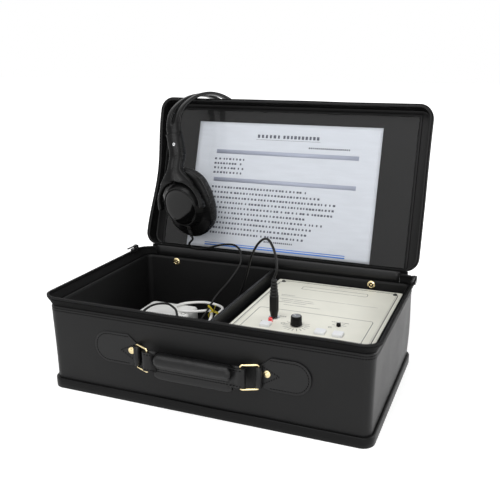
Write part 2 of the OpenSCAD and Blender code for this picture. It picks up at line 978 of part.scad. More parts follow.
headset_yaw = -13;                                // turn of the hanging headset about Z
headset_roll = -10;                               // lean across the band
hang_in = 70.7;                                   // from the lid's left edge to the band's middle
hang_y = 1.5;
hang_z = 3;
crown_at = [
    -lid_w / 2 + hang_in,
    hinge_y + lid_h * sin(lid_lean) + hang_y,
    rim_z + lid_h * cos(lid_lean) + band_t + hang_z
];
crown_half = 30;                                  // half angle of the crown arc
shoulder_y = (crown_r - shoulder_r) * sin(crown_half);
shoulder_z = -crown_r + (crown_r - shoulder_r) * cos(crown_half);
leg_y = shoulder_y + shoulder_r;                  // outer face of the band's straight legs
leg_l = 28;
leg_w = band_w - 5;
slot_end = -42;
arc_lap = 0.5;                                    // angle by which the band's arcs run past each other
arm_top = shoulder_z - shoulder_r * sin(arc_lap) - fit;
arm_t = band_t + 5;
arm_y = leg_y - band_t / 2;                       // middle of an arm's socket
pivot_y = leg_y + 6.5;
pivot_z = arm_top - arm_l;
yoke_in = 1.8;                                    // from the pivot out to the yoke's inner face
yoke_t = 6.5;
waist_r = plate_r + 5.5;                          // shell's radius at the pivot
yoke_r0 = waist_r + 2;
yoke_r1 = yoke_r0 + 7;
pin_r = 2.5;
relief_r = 2.8;
relief_y = 1;
relief_top = -plate_r;
relief_end = -cup_r - 6;
rim_back_y = 15;                                  // depths in the cup, measured from its pivot
rim_front_y = rim_back_y - 5;
waist_y = 4;
plate_y = rim_back_y - shell_t;
shell_wall = 2.5;

function spin_z(p, a) = [p[0] * cos(a) - p[1] * sin(a), p[0] * sin(a) + p[1] * cos(a), p[2]];
function spin_y(p, a) = [p[0] * cos(a) + p[2] * sin(a), p[1], -p[0] * sin(a) + p[2] * cos(a)];
function spin_x(p, a) = [p[0], p[1] * cos(a) - p[2] * sin(a), p[1] * sin(a) + p[2] * cos(a)];
// Where a point of the upright headset lies when it hangs on the lid
function hung(p) = crown_at + spin_z(spin_y(p, headset_roll), headset_yaw);
// Where a point of the front cup lies when it hangs on the lid
function on_front_cup(p) = hung([0, -pivot_y, pivot_z] + spin_x(p, cup_toe));

module on_headset() {
    translate(crown_at)
        rotate([0, headset_roll, headset_yaw])
            children();
}

// Builds the front half as drawn and the rear half as its mirror image
module half(rear) {
    on_headset()
        mirror([0, rear ? 1 : 0, 0])
            children();
}

module band_arc(r, a0, a1) {
    far = 2 * r;
    intersection() {
        difference() {
            circle(r, $fn = 128);
            circle(r - band_t, $fn = 128);
        }
        polygon([
            [0, 0],
            [far * cos(a0), far * sin(a0)],
            [far * cos((a0 + a1) / 2), far * sin((a0 + a1) / 2)],
            [far * cos(a1), far * sin(a1)]
        ]);
    }
}

module band_profile() {
    translate([0, -crown_r])
        band_arc(crown_r, 90 - crown_half, 90 + crown_half);
    for (side = [-1, 1])
        mirror([side < 0 ? 1 : 0, 0])
            translate([shoulder_y, shoulder_z])
                band_arc(shoulder_r, -arc_lap, 90 - crown_half + arc_lap);
}

module headband() {
    color("#232425")
        on_headset() {
            difference() {
                rotate([90, 0, 90])
                    linear_extrude(band_w, center = true)
                        band_profile();
                translate([-band_slot / 2, -leg_y - 1, slot_end])
                    cube([band_slot, 2 * leg_y + 2, -slot_end + 10]);
            }
            for (side = [-1, 1])
                translate([-leg_w / 2, side * (leg_y - band_t / 2) - band_t / 2, arm_top - leg_l])
                    cube([leg_w, band_t, leg_l + 2]);
        }
}

// Profile of an arm, seen from the side: socket, step outwards and crown of the yoke
module arm_profile() {
    inner = -arm_y + arm_t / 2;
    outer = -arm_y - arm_t / 2;
    yoke_inner = -pivot_y - yoke_in;
    polygon([
        [inner, arm_top],
        [outer, arm_top],
        [outer, arm_top - 34],
        [yoke_inner - yoke_t, arm_top - 50],
        [yoke_inner - yoke_t, pivot_z + yoke_r0 + 1],
        [yoke_inner, pivot_z + yoke_r0 + 1],
        [yoke_inner, arm_top - 52],
        [inner, arm_top - 36]
    ]);
}

// Slider arm with its yoke and the two pivot pins of the ear cup
module slider_arm(rear) {
    yoke_inner = -pivot_y - yoke_in;
    boss_y = 2.5;
    color("#232425")
        half(rear)
            difference() {
                union() {
                    rotate([90, 0, 90])
                        linear_extrude(band_w, center = true)
                            arm_profile();
                    // half ring of the yoke
                    translate([0, yoke_inner, pivot_z])
                        rotate([90, 0, 0])
                            linear_extrude(yoke_t)
                                difference() {
                                    circle(yoke_r1);
                                    circle(yoke_r0);
                                    translate([-2 * yoke_r1, -4 * yoke_r1])
                                        square(4 * yoke_r1);
                                }
                    for (side = [-1, 1]) {
                        translate([side * (yoke_r0 + yoke_r1) / 2, 0, pivot_z])
                            translate([-(yoke_r1 - yoke_r0) / 2, yoke_inner - yoke_t, -5])
                                cube([yoke_r1 - yoke_r0, yoke_in + yoke_t + boss_y, 10]);
                        translate([side * (yoke_r0 + 1), -pivot_y, pivot_z])
                            rotate([0, -side * 90, 0])
                                cylinder(r = pin_r, h = 9);
                    }
                    // screw that stops the slider
                    translate([0, -arm_y - arm_t / 2, arm_top - 16])
                        rotate([90, 0, 0])
                            cylinder(r = 2.6, h = 0.6);
                }
                // socket for the band's leg
                translate([-leg_w / 2 - fit, -leg_y - fit, arm_top - leg_l - 1])
                    cube([leg_w + 2 * fit, band_t + 2 * fit, leg_l + 2]);
            }
}
module slider_arm_front() slider_arm(false);
module slider_arm_rear() slider_arm(true);

// Places children at an ear cup's pivot: Y points from the outer plate to the cushion
module on_cup(rear) {
    half(rear)
        translate([0, -pivot_y, pivot_z])
            rotate([cup_toe, 0, 0])
                children();
}

// Oval with round ends, drawn across the ear cup
module oval(r) {
    for (z = [-1, 1])
        translate([0, z * cup_stretch / 2])
            circle(r);
    square([2 * r, cup_stretch], center = true);
}

// Extrudes across the ear cup from depth y0 to y1
module cup_layer(y0, y1) {
    translate([0, y1, 0])
        rotate([90, 0, 0])
            linear_extrude(y1 - y0)
                children();
}

module cup_cone(r0, r1, y0, y1) {
    translate([0, y0, 0])
        rotate([-90, 0, 0])
            cylinder(r1 = r0, r2 = r1, h = y1 - y0);
}

module cup_shell(rear) {
    color("#1d1d1e")
        on_cup(rear)
            difference() {
                union() {
                    difference() {
                        union() {
                            cup_layer(rim_front_y, rim_back_y)
                                oval(cup_r);
                            cup_cone(waist_r, cup_r, waist_y, rim_front_y + e);
                            cup_cone(plate_r, waist_r, plate_y, waist_y + e);
                        }
                        cup_layer(rim_front_y + shell_wall, rim_back_y + 1)
                            oval(cup_r - shell_wall);
                        cup_cone(waist_r - shell_wall, cup_r - 2 * shell_wall, waist_y,
                            rim_front_y + shell_wall + e);
                        cup_cone(plate_r - shell_wall, waist_r - shell_wall, plate_y + shell_wall,
                            waist_y + e);
                    }
                    // pivot bosses inside the wall
                    for (side = [-1, 1])
                        translate([side * (waist_r - 8), 0, 0])
                            rotate([0, side * 90, 0])
                                cylinder(r = pin_r + 2.2, h = 6);
                    // relief of the cord, on the front cup only
                    if (!rear)
                        translate([0, relief_y, relief_end])
                            cylinder(r = relief_r, h = relief_top - relief_end);
                }
                for (side = [-1, 1])
                    translate([side * (waist_r - 9), 0, 0])
                        rotate([0, side * 90, 0])
                            cylinder(r = pin_r + bore_gap, h = 20);
            }
}
module cup_shell_front() cup_shell(false);
module cup_shell_rear() cup_shell(true);

baffle_t = 2;
baffle_in = 0.5;
magnet_r = 15;
magnet_gap = 3.5;
// Baffle with the driver's magnet behind it
module cup_driver(rear) {
    color("#3a3a3c")
        on_cup(rear) {
            cup_layer(rim_back_y - baffle_in - baffle_t, rim_back_y - baffle_in)
                oval(cup_r - shell_wall - bore_gap);
            cup_layer(plate_y + shell_wall + magnet_gap, rim_back_y - baffle_in - baffle_t)
                circle(magnet_r);
        }
}
module cup_driver_front() cup_driver(false);
module cup_driver_rear() cup_driver(true);

ear_hole_r = 19;
module ear_cushion(rear) {
    color("#2b2b2b")
        on_cup(rear) {
            cup_layer(rim_back_y, rim_back_y + cushion_t)
                difference() {
                    oval(cup_r);
                    oval(ear_hole_r);
                }
        }
}
module ear_cushion_front() ear_cushion(false);
module ear_cushion_rear() ear_cushion(true);

// ---- mains adapter -------------------------------------------------------------------------------

adapter_x = -126.5;
adapter_y = 19;
prong_r = 2.4;
prong_l = 19;
gland_r = 3.6;
gland_l = 14;
gland_y = -8;
gland_z = 50;
module adapter_body() {
    color("#eceded") {
        difference() {
            translate([adapter_x, adapter_y, base_z])
                linear_extrude(adapter_h)
                    rounded(adapter_w, adapter_d, adapter_r);
            translate([adapter_x + 30, adapter_y + 4, base_z + adapter_h - 3])
                cylinder(r = 3.5, h = 4);
        }
        // mains prongs towards the front
        for (x = [-9.5, 9.5])
            translate([adapter_x + x, adapter_y - adapter_d / 2 + 1, base_z + 20])
                rotate([90, 0, 0])
                    cylinder(r = prong_r, h = prong_l + 1);
        // bend relief of the cord
        translate([adapter_x + adapter_w / 2 - 1, adapter_y + gland_y, gland_z])
            rotate([0, 90, 0])
                cylinder(r1 = gland_r, r2 = white_r + 0.6, h = gland_l + 1);
    }
}

// ---- cords ---------------------------------------------------------------------------------------

// Each coil is two nested stacks of three turns: the cord comes in at the outer stack's top
// and leaves at the inner stack's top
coil_at = [-118, -74];
turn_r = 16;                                      // radius of the inner turns
turn_pitch = 3.6;
coil_top = base_z + 3 * turn_pitch + cord_r;      // centre line of the top turn
white_coil_at = [-62, -86];
white_turn_r = 19.5;
white_pitch = 4.5;
white_coil_top = base_z + 3 * white_pitch + white_r;
headset_start = on_front_cup([0, relief_y, relief_end - 3 * fit]);
headset_below = on_front_cup([0, relief_y, relief_end - 5]);
headset_meet = [-122, 122, 131];
meet_gap = [0.8, 0, 0];
plug_end = [unit_x + jack_at[0], jack_at[1], plug_z + plug_l + 2 * fit];

upper_route = [headset_start, headset_below, [-134, 119, 138], [-130, 122, 132], headset_meet];
lower_route = [
    headset_meet + meet_gap, [-112, 122, 132], [-102, 121, 134], [-88, 121, 139], [-72, 120, 143], [-56, 117, 144],
    [-44, 110, 138], [-39, 98, 122], [-47, 76, 102], [-56, 48, 86], [-62, 14, 64], [-66, -16, 56],
    [-70, -38, 72], [-84, -18, 82], [-102, 6, 78], [-120, 16, 78], [-138, 4, 76], [-144, -24, 66],
    [-144, -44, 42], [-139, -62, 24], [coil_at[0] - turn_r - turn_pitch, coil_at[1], coil_top]
];
plug_route = [
    plug_end, [67, -33, 168], [60, -24, 187], [45, -8, 196], [28, 6, 186], [13, 16, 163],
    [2, 24, 132], [-10, 28, 102], [-24, 18, 70], [-44, -20, 42], [-70, -44, 34], [-98, -58, 24],
    [coil_at[0] + turn_r, coil_at[1], coil_top]
];
tie_at = [-47, 22, 67.5];
tie_r = 7.2;
white_start = [adapter_x + adapter_w / 2 + gland_l, adapter_y + gland_y, gland_z];
white_route = [
    white_start, [-60, 9, 51], [-48, 9, 56], [-43, 24, 69], [-44, 44, 70], [-60, 62, 67],
    [-84, 68, 66], [-108, 56, 66], [-116, 38, 66], [-102, 26, 66], [-80, 28, 67], [-60, 33, 69],
    [-51, 22, 68], [-46, 6, 66], [-47, -6, 50], [-52, -18, 34], [-72, -40, 28], [-87, -62, 24],
    [white_coil_at[0] - white_turn_r - white_pitch, white_coil_at[1], white_coil_top]
];
white_plug = [-16, -74, base_z + 5.3];
white_end_route = [
    [white_coil_at[0] + white_turn_r, white_coil_at[1], white_coil_top], [-41, -70, 25], [-32, -56, 22],
    [-20, -58, 14], white_plug
];

module headset_cord_upper() {
    color("#121212")
        cord(upper_route, 7, cord_r);
}
module headset_cord_lower() {
    color("#121212")
        cord(lower_route, 42, cord_r);
}
module headset_cord_plug_end() {
    color("#121212")
        cord(plug_route, 22, cord_r);
}

// Outer shape of the spare turns of a cord, lying on the floor
module coil(at, inner_r, pitch, r) {
    translate([at[0], at[1], base_z])
        rotate_extrude()
            translate([inner_r - r - 0.1, 0])
                square([pitch + 2 * r + 0.2, 3 * pitch + 2 * r]);
}
module headset_coil() {
    color("#121212")
        coil(coil_at, turn_r, turn_pitch, cord_r);
}
module adapter_coil() {
    color("#e9e9e7")
        coil(white_coil_at, white_turn_r, white_pitch, white_r);
}

plug_barrel_r = 5;
plug_barrel_l = 20;
plug_tip_r = 2.75;
plug_tip_l = 10;
// White cord with its low-voltage plug at the end
module adapter_cord() {
    color("#e9e9e7") {
        cord(white_route, 27, white_r);
        cord(white_end_route, 9, white_r);
        translate(white_plug)
            rotate([90, 0, 0]) {
                cylinder(r = plug_barrel_r, h = plug_barrel_l);
                cylinder(r = plug_tip_r, h = plug_barrel_l + plug_tip_l);
            }
    }
}

// Yellow twist tie round the bundle of white cord
module cord_tie() {
    color("#d9b92e")
        translate(tie_at)
            rotate([-74, 0, 7])
                difference() {
                    cylinder(r = tie_r + 0.9, h = 4, center = true);
                    cylinder(r = tie_r, h = 6, center = true);
                }
}

// ---- drawing ---------------------------------------------------------------------------------------

case_walls();
case_floor();
foot_band();
inner_lining();
divider();
wall_snaps();
hinge_strip();
zip_tape_case();
zip_chain_case();
zip_slider_left();
zip_slider_right();
zip_pull_left();
zip_pull_right();
handle_tabs();
tab_rivets();
handle_ring_left();
handle_ring_right();
handle_grip();
lid_board();
lid_walls();
lid_zip_tape();
pocket_binding();
pocket_window();
instruction_sheet();
housing();
front_panel();
panel_screws();
circuit_board();
board_standoffs();
indicator_lamp();
volume_control();
volume_knob();
knob_cap();
frequency_switch();
frequency_knob();
button_left();
button_middle();
button_right();
button_switches();
phone_jack();
plug_shaft();
plug_handle();
battery();
headband();
slider_arm_front();
slider_arm_rear();
cup_shell_front();
cup_shell_rear();
cup_driver_front();
cup_driver_rear();
ear_cushion_front();
ear_cushion_rear();
headset_cord_upper();
headset_cord_lower();
headset_coil();
headset_cord_plug_end();
adapter_body();
adapter_cord();
adapter_coil();
cord_tie();
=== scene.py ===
# %% [markdown]
# # A screening audiometer in its carrying case
# The case is a board box covered in black leatherette, with a zip round its rim. On the right lies
# the tone generator. On the left lie its mains adapter and the cords. The headset hangs on the open
# lid, in front of the instruction sheet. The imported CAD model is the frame: each finished piece here
# rides on one of its bodies. Points are in metres. Bare numbers are sizes in millimetres, and the
# helpers turn them into metres.

# %% Load the frame
import math
import random

import bmesh
import bpy
from mathutils import Matrix, Vector, noise


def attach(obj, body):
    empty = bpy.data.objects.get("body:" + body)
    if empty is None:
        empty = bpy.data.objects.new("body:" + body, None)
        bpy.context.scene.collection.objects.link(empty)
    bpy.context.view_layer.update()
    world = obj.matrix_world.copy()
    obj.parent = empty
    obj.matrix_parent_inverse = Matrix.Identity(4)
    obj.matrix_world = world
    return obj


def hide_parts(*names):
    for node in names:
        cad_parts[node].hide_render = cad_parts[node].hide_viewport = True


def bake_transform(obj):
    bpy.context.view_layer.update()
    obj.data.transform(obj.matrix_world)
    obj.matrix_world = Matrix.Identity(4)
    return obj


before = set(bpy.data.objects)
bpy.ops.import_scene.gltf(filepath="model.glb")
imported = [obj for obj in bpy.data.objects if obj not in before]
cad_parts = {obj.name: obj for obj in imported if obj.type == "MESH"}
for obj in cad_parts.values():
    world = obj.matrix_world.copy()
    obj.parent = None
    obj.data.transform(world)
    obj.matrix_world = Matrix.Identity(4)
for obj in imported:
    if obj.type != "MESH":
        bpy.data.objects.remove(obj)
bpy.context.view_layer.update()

# %% [markdown]
# ## Camera
# The camera stands in front, a little to the right and above, as the photographer did. Its place and
# its lens come from a pinhole fit to the picture, and the two shifts put the picture's centre right.


# %% Camera
def added(name, data):
    """A new object in the scene that holds a mesh, a camera or a lamp."""
    made = bpy.data.objects.new(name, data)
    bpy.context.collection.objects.link(made)
    return made


camera = added("camera", bpy.data.cameras.new("camera"))
camera.location = (0.34034, -0.775, 0.42348)
camera.rotation_euler = (math.radians(74.745), 0, math.radians(20.806))
camera.data.sensor_width, camera.data.lens = 36, 48.456
camera.data.shift_x, camera.data.shift_y = -0.0406, -0.0269
camera.data.clip_start = 0.01
bpy.context.scene.camera = camera
print("camera at", tuple(round(c, 3) for c in camera.location))

# %% [markdown]
# ## Places
# The lid and the headset are easiest to draw upright, each in its own frame, and to turn into place
# with a matrix. The lid's frame has X across, Y into the lid's depth and Z from the hinge to the free
# edge. The headset's frame has its crown at the origin and the front cup on the -Y side.

# %% Places of the lid and the headset
MM = 0.001
UP, DOWN, FORWARD = Vector((0, 0, 1)), Vector((0, 0, -1)), Vector((0, -1, 0))


def mm(x, y, z):
    """A point given in millimetres."""
    return Vector((x, y, z)) * MM


def at(x, y, z, *turns):
    """The place at a point in millimetres, with turns of (axis, degrees) one after the other."""
    place = Matrix.Translation(mm(x, y, z))
    for axis, degrees in turns:
        place = place @ Matrix.Rotation(math.radians(degrees), 4, axis)
    return place


LEAN, LID_H = 18.25, 239.7
HINGE_Y, HINGE_Z = 124, 127.6
LID = at(0, HINGE_Y, HINGE_Z, ("X", -LEAN))
EDGE_Y, EDGE_Z = LID_H * math.sin(math.radians(LEAN)), LID_H * math.cos(math.radians(LEAN))
HUNG = at(-145, HINGE_Y + EDGE_Y + 1.5, HINGE_Z + EDGE_Z + 8, ("Z", -13), ("Y", -10))
MIRROR = Matrix.Scale(-1, 4, (0, 1, 0))
HALVES = {"front": HUNG, "rear": HUNG @ MIRROR}
PIVOT_Y, PIVOT_Z = -89.5, -165.61
CUP = at(0, PIVOT_Y, PIVOT_Z, ("X", 10))
FLAT = Matrix(((1, 0, 0, 0), (0, 0, 1, 0), (0, 1, 0, 0), (0, 0, 0, 1)))    # Y and Z change places
FROM_FLAT = LID @ FLAT
print("headset's crown at", tuple(round(c, 3) for c in HUNG.translation))

# %% [markdown]
# ## Helpers for meshes
# Three shapes come back all over this object. A wall that follows a rounded rectangle makes the
# case, its band, its tape and the lid. A tube along points makes cords and wire. A turned profile
# makes knobs and cups. Each helper also writes a UV map in metres, for weave and for stitches.


# %% Small sums
def clamped(t):
    return max(0, min(t, 1))


def eased(t):
    t = clamped(t)
    return t * t * (3 - 2 * t)


def arc(x, y, r, start, stop, n, ry=None):
    """n + 1 points of a circle or an ellipse, between two angles in degrees."""
    angles = [math.radians(start + (stop - start) * k / n) for k in range(n + 1)]
    return [(x + r * math.cos(a), y + (ry or r) * math.sin(a)) for a in angles]


def mirrored(left):
    """An outline from its left half."""
    return left + [(-x, y) for x, y in left[::-1]]


def ribs(count, pitch, *corners):
    """Ribs of a bend relief: each corner is a radius, its growth from rib to rib, and a height."""
    return [(r + grow * k, z + pitch * k) for k in range(count) for r, grow, z in corners]


def finer(profile, step):
    """The same profile with more points on its long stretches."""
    out = [profile[0]]
    for (r0, z0), (r1, z1) in zip(profile, profile[1:]):
        n = max(1, math.ceil(math.hypot(r1 - r0, z1 - z0) / step)) if r0 and r1 else 1
        out += [(r0 + (r1 - r0) * k / n, z0 + (z1 - z0) * k / n) for k in range(1, n + 1)]
    return out


# %% Meshes from points and faces
def outward(mesh):
    """Turns the faces of a closed mesh to the outside."""
    build = bmesh.new()
    build.from_mesh(mesh)
    bmesh.ops.recalc_face_normals(build, faces=build.faces)
    build.to_mesh(mesh)
    build.free()


def piece(name, points, faces, material, uvs=None, place=None, smooth=True, closed=True):
    mesh = bpy.data.meshes.new(name)
    mesh.from_pydata([tuple(p) for p in points], [], faces)
    if uvs:
        layer = mesh.uv_layers.new(name="UVMap")
        for loop in mesh.loops:
            layer.data[loop.index].uv = uvs[loop.vertex_index]
    if place is not None:
        mesh.transform(place)
    if closed:
        outward(mesh)
    mesh.update()
    for face in mesh.polygons:
        face.use_smooth = smooth
    if material is not None:
        mesh.materials.append(material)
    return added(name, mesh)


def moved(made, place):
    """Carries a piece to its place. A mirror would turn its faces inside out, so they turn back."""
    made.data.transform(place)
    if place.determinant() < 0:
        made.data.flip_normals()
    return made


def finished(made, body, slot, *nodes):
    """Puts a made piece on its body and hides the CAD nodes that it stands for; its slot is not used."""
    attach(made, body)
    if nodes:
        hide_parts(*nodes)
    return made


def joined(name, parts):
    """One mesh of several, with their materials kept."""
    mesh = bpy.data.meshes.new(name)
    build = bmesh.new()
    build.loops.layers.uv.new("UVMap")
    materials = []
    for part in parts:
        for used in part.data.materials:
            if used not in materials:
                materials.append(used)
        shift = [materials.index(used) for used in part.data.materials] or [0]
        start = len(build.faces)
        build.from_mesh(part.data)
        build.faces.ensure_lookup_table()
        for face in build.faces[start:]:
            face.material_index = shift[min(face.material_index, len(shift) - 1)]
        bpy.data.objects.remove(part)
    build.to_mesh(mesh)
    build.free()
    for used in materials:
        mesh.materials.append(used)
    return added(name, mesh)


def applied(made):
    """Replaces a piece's modifiers by the mesh that they make."""
    depsgraph = bpy.context.evaluated_depsgraph_get()
    mesh = bpy.data.meshes.new_from_object(made.evaluated_get(depsgraph))
    made.modifiers.clear()
    made.data = mesh
    return made


def rounded_edges(made, width, segments):
    if width:
        bevel = made.modifiers.new("edges", "BEVEL")
        bevel.width, bevel.segments = width * MM, segments
        bevel.limit_method, bevel.angle_limit = "ANGLE", math.radians(40)
        bevel.harden_normals = True
        applied(made)
    return made


# %% Shells that follow a rounded rectangle
def rounded_loop(w, d, r, z=0, y=0, steps=(52, 30), corner=8):
    """Points round a rectangle with round corners, anticlockwise from its right back corner."""
    points = []
    x1, y1 = w / 2 - r, d / 2 - r
    corners = [(x1, y1), (-x1, y1), (-x1, -y1), (x1, -y1)]
    for i, (cx, cy) in enumerate(corners):
        points += [mm(px, py, z) for px, py in arc(cx, y + cy, r, 90 * i, 90 * (i + 1), corner)]
        nx, ny = corners[(i + 1) % 4]
        start, n = points[-1], steps[i % 2]
        points += [start + mm(nx - cx, ny - cy, 0) * (k / n) for k in range(1, n)]
    return points


def outs_of(points):
    """The direction away from the middle at each point of an anticlockwise loop."""
    n = len(points)
    headings = [points[(i + 1) % n] - points[i - 1] for i in range(n)]
    return [Vector((h.y, -h.x, 0)).normalized() for h in headings]


def lofted(name, rows, material, around=True, ring=False, place=None, change=None):
    """Skins rows of points. around joins each row's ends, ring joins the last row to the first, and
    flat ends close what is left open."""
    n, m = len(rows[0]), len(rows)
    run, rise = [0], [0]
    for a, b in zip(rows[0], rows[0][1:]):
        run.append(run[-1] + (b - a).length)
    for a, b in zip(rows, rows[1:]):
        rise.append(rise[-1] + (b[0] - a[0]).length)
    verts = [change(p) if change else p for row in rows for p in row]
    uvs = [(run[i], rise[j]) for j in range(m) for i in range(n)]
    faces = []
    for j in range(m if ring else m - 1):
        for i in range(n if around else n - 1):
            k, l = (i + 1) % n, (j + 1) % m
            faces.append((j * n + i, j * n + k, l * n + k, l * n + i))
    if around and not ring:
        faces += [tuple(range(n)), tuple((m - 1) * n + i for i in range(n))]
    if ring and not around:
        faces += [tuple(j * n for j in range(m)), tuple(j * n + n - 1 for j in range(m))]
    return piece(name, verts, faces, material, uvs, place, closed=(around or ring))


def drawn_along(outline, half, steps):
    """Rows of an outline of (y, z) pairs, drawn out along X to both sides."""
    return [[mm(half * (2 * k / steps - 1), y, z) for y, z in outline] for k in range(steps + 1)]


def plate(name, outline, low, high, material, edge, place=None):
    """A flat outline in X and Y made thick from low to high, with rounded edges."""
    n = len(outline)
    verts = [mm(x, y, z) for z in (low, high) for x, y in outline]
    faces = [tuple(range(n)), tuple(range(n, 2 * n))]
    faces += [(i, (i + 1) % n, n + (i + 1) % n, n + i) for i in range(n)]
    made = rounded_edges(piece(name, verts, faces, material), edge, 2)
    return moved(made, place) if place else made


# %% Tubes, turned profiles and boxes
def curve_through(points, steps):
    """Points along a smooth curve through a route, closer together than the route's own."""
    out, last = [], len(points) - 1
    for i in range(last):
        a, b, c, d = points[max(i - 1, 0)], points[i], points[i + 1], points[min(i + 2, last)]
        for t in (k / steps for k in range(steps)):
            bends = (2 * a - 5 * b + 4 * c - d) * t * t + (3 * b - a - 3 * c + d) * t ** 3
            out.append(0.5 * (2 * b + (c - a) * t + bends))
    return out + [points[-1].copy()]


def tube(name, points, radius, material, sides=12, closed=False, place=None):
    """A tube along points, with side vectors carried along so that it doesn't twist."""
    n = len(points)
    verts, uvs, faces, run, side = [], [], [], 0, None
    for i, p in enumerate(points):
        before = points[i - 1] if i or closed else p
        after = points[(i + 1) % n] if i < n - 1 or closed else p
        heading = (after - before).normalized()
        if side is None:
            side = heading.cross(UP if abs(heading.z) < 0.9 else Vector((1, 0, 0)))
        side = (side - side.dot(heading) * heading).normalized()
        up = heading.cross(side)
        run += (p - before).length if i else 0
        for a in (2 * math.pi * k / sides for k in range(sides)):
            verts.append(p + radius * MM * (math.cos(a) * side + math.sin(a) * up))
            uvs.append((run, a * radius * MM))
    for i in range(n if closed else n - 1):
        b = ((i + 1) % n) * sides
        for k in range(sides):
            faces.append((i * sides + k, i * sides + (k + 1) % sides, b + (k + 1) % sides, b + k))
    if not closed:
        faces += [tuple(range(sides))[::-1], tuple((n - 1) * sides + k for k in range(sides))]
    return piece(name, verts, faces, material, uvs, place)


def turned(name, profile, material, segments=48, place=None, change=None):
    """Turns a profile of (radius, up) pairs about Z; a radius of 0 closes a pole."""
    verts, uvs, faces, rings = [], [], [], []
    rise, last = 0, profile[0]
    for r, z in profile:
        rise += math.hypot(r - last[0], z - last[1]) * MM
        last = (r, z)
        rings.append((len(verts), 1 if r == 0 else segments))
        for a in (2 * math.pi * k / segments for k in range(rings[-1][1])):
            v = mm(r * math.cos(a), r * math.sin(a), z)
            verts.append(change(v, a) if change else v)
            uvs.append((a * r * MM, rise))
    for (s0, c0), (s1, c1) in zip(rings, rings[1:]):
        for k in range(segments):
            quad = [s0 + k % c0, s0 + (k + 1) % c0, s1 + (k + 1) % c1, s1 + k % c1]
            faces.append(tuple(dict.fromkeys(quad)))
    return piece(name, verts, faces, material, uvs, place)


def block(name, low, high, material, edge=0, segments=1):
    """A box with rounded edges, between two corners."""
    verts = [mm(x, y, z) for x, y, z in (
        (x, y, z) for x in (low[0], high[0]) for y in (low[1], high[1]) for z in (low[2], high[2]))]
    faces = [(0, 1, 3, 2), (4, 6, 7, 5), (0, 4, 5, 1), (2, 3, 7, 6), (0, 2, 6, 4), (1, 5, 7, 3)]
    return rounded_edges(piece(name, verts, faces, material), edge, segments)


def unit(length, width, low, high, material, edge=0):
    """A small box about the origin, to be repeated."""
    return block("unit", (-length / 2, -width / 2, low), (length / 2, width / 2, high), material, edge)


print("helpers ready")

# %% [markdown]
# ## Things that repeat along a path
# Stitches, zip teeth, dial ticks and printed rows are all one small piece, set again and again along
# a line. One Geometry Nodes tree does it: it cuts the path into even steps, sets the piece at each
# step, turns it along the path and keeps its top towards the path's own `up` attribute.


# %% Nodes
def fill(tree, made, inputs):
    """Gives a node's inputs their values, or links them where the value is another node's socket."""
    for label, value in inputs.items():
        if isinstance(value, bpy.types.NodeSocket):
            tree.links.new(value, made.inputs[label])
        else:
            made.inputs[label].default_value = value


def node(tree, kind, inputs={}, **settings):
    made = tree.nodes.new(kind)
    for label, value in settings.items():
        setattr(made, label, value)
    fill(tree, made, inputs)
    return made


def math_node(tree, operation, a, b):
    return node(tree, "ShaderNodeMath", {0: a, 1: b}, operation=operation).outputs[0]


def sockets(tree, side, *kinds):
    for label, kind in kinds:
        tree.interface.new_socket(label, in_out=side, socket_type="NodeSocket" + kind)


# %% The tree that repeats a piece along a path
def build_repeat_tree():
    tree = bpy.data.node_groups.new("Repeat along a path", "GeometryNodeTree")
    sockets(tree, "INPUT", ("Path", "Geometry"), ("Piece", "Object"), ("Pitch", "Float"),
            ("Uneven length", "Float"), ("Finish", "Material"))
    sockets(tree, "OUTPUT", ("Row", "Geometry"))
    given = node(tree, "NodeGroupInput").outputs
    curve = node(tree, "GeometryNodeMeshToCurve", {0: given["Path"]})
    dots = node(tree, "GeometryNodeCurveToPoints", {"Curve": curve.outputs[0], "Length": given["Pitch"]},
                mode="LENGTH")
    up = node(tree, "GeometryNodeInputNamedAttribute", {"Name": "up"}, data_type="FLOAT_VECTOR")
    forward = node(tree, "FunctionNodeAlignRotationToVector", {"Vector": dots.outputs["Tangent"]}, axis="X")
    upright = node(tree, "FunctionNodeAlignRotationToVector",
                   {"Rotation": forward.outputs[0], "Vector": up.outputs["Attribute"]},
                   axis="Z", pivot_axis="X")
    source = node(tree, "GeometryNodeObjectInfo", {"Object": given["Piece"]})
    least, most = (math_node(tree, how, 1, given["Uneven length"]) for how in ("SUBTRACT", "ADD"))
    length = node(tree, "FunctionNodeRandomValue", {2: least, 3: most, "Seed": 7})
    stretch = node(tree, "ShaderNodeCombineXYZ", {"X": length.outputs[1], "Y": 1, "Z": 1})
    place = node(tree, "GeometryNodeInstanceOnPoints", {
        "Points": dots.outputs["Points"], "Instance": source.outputs["Geometry"],
        "Rotation": upright.outputs[0], "Scale": stretch.outputs[0]})
    real = node(tree, "GeometryNodeRealizeInstances", {0: place.outputs[0]})
    paint = node(tree, "GeometryNodeSetMaterial", {
        "Geometry": real.outputs[0], "Material": given["Finish"]})
    node(tree, "NodeGroupOutput", {0: paint.outputs[0]})
    return tree


REPEAT = build_repeat_tree()


def path(points, up, place=None, closed=False):
    """A path to repeat along. up is one direction for all of it, or a list with one for each point."""
    ups = up if isinstance(up, list) else [up] * len(points)
    if place is not None:
        points, ups = [place @ p for p in points], [place.to_3x3() @ u for u in ups]
    return points, ups, closed


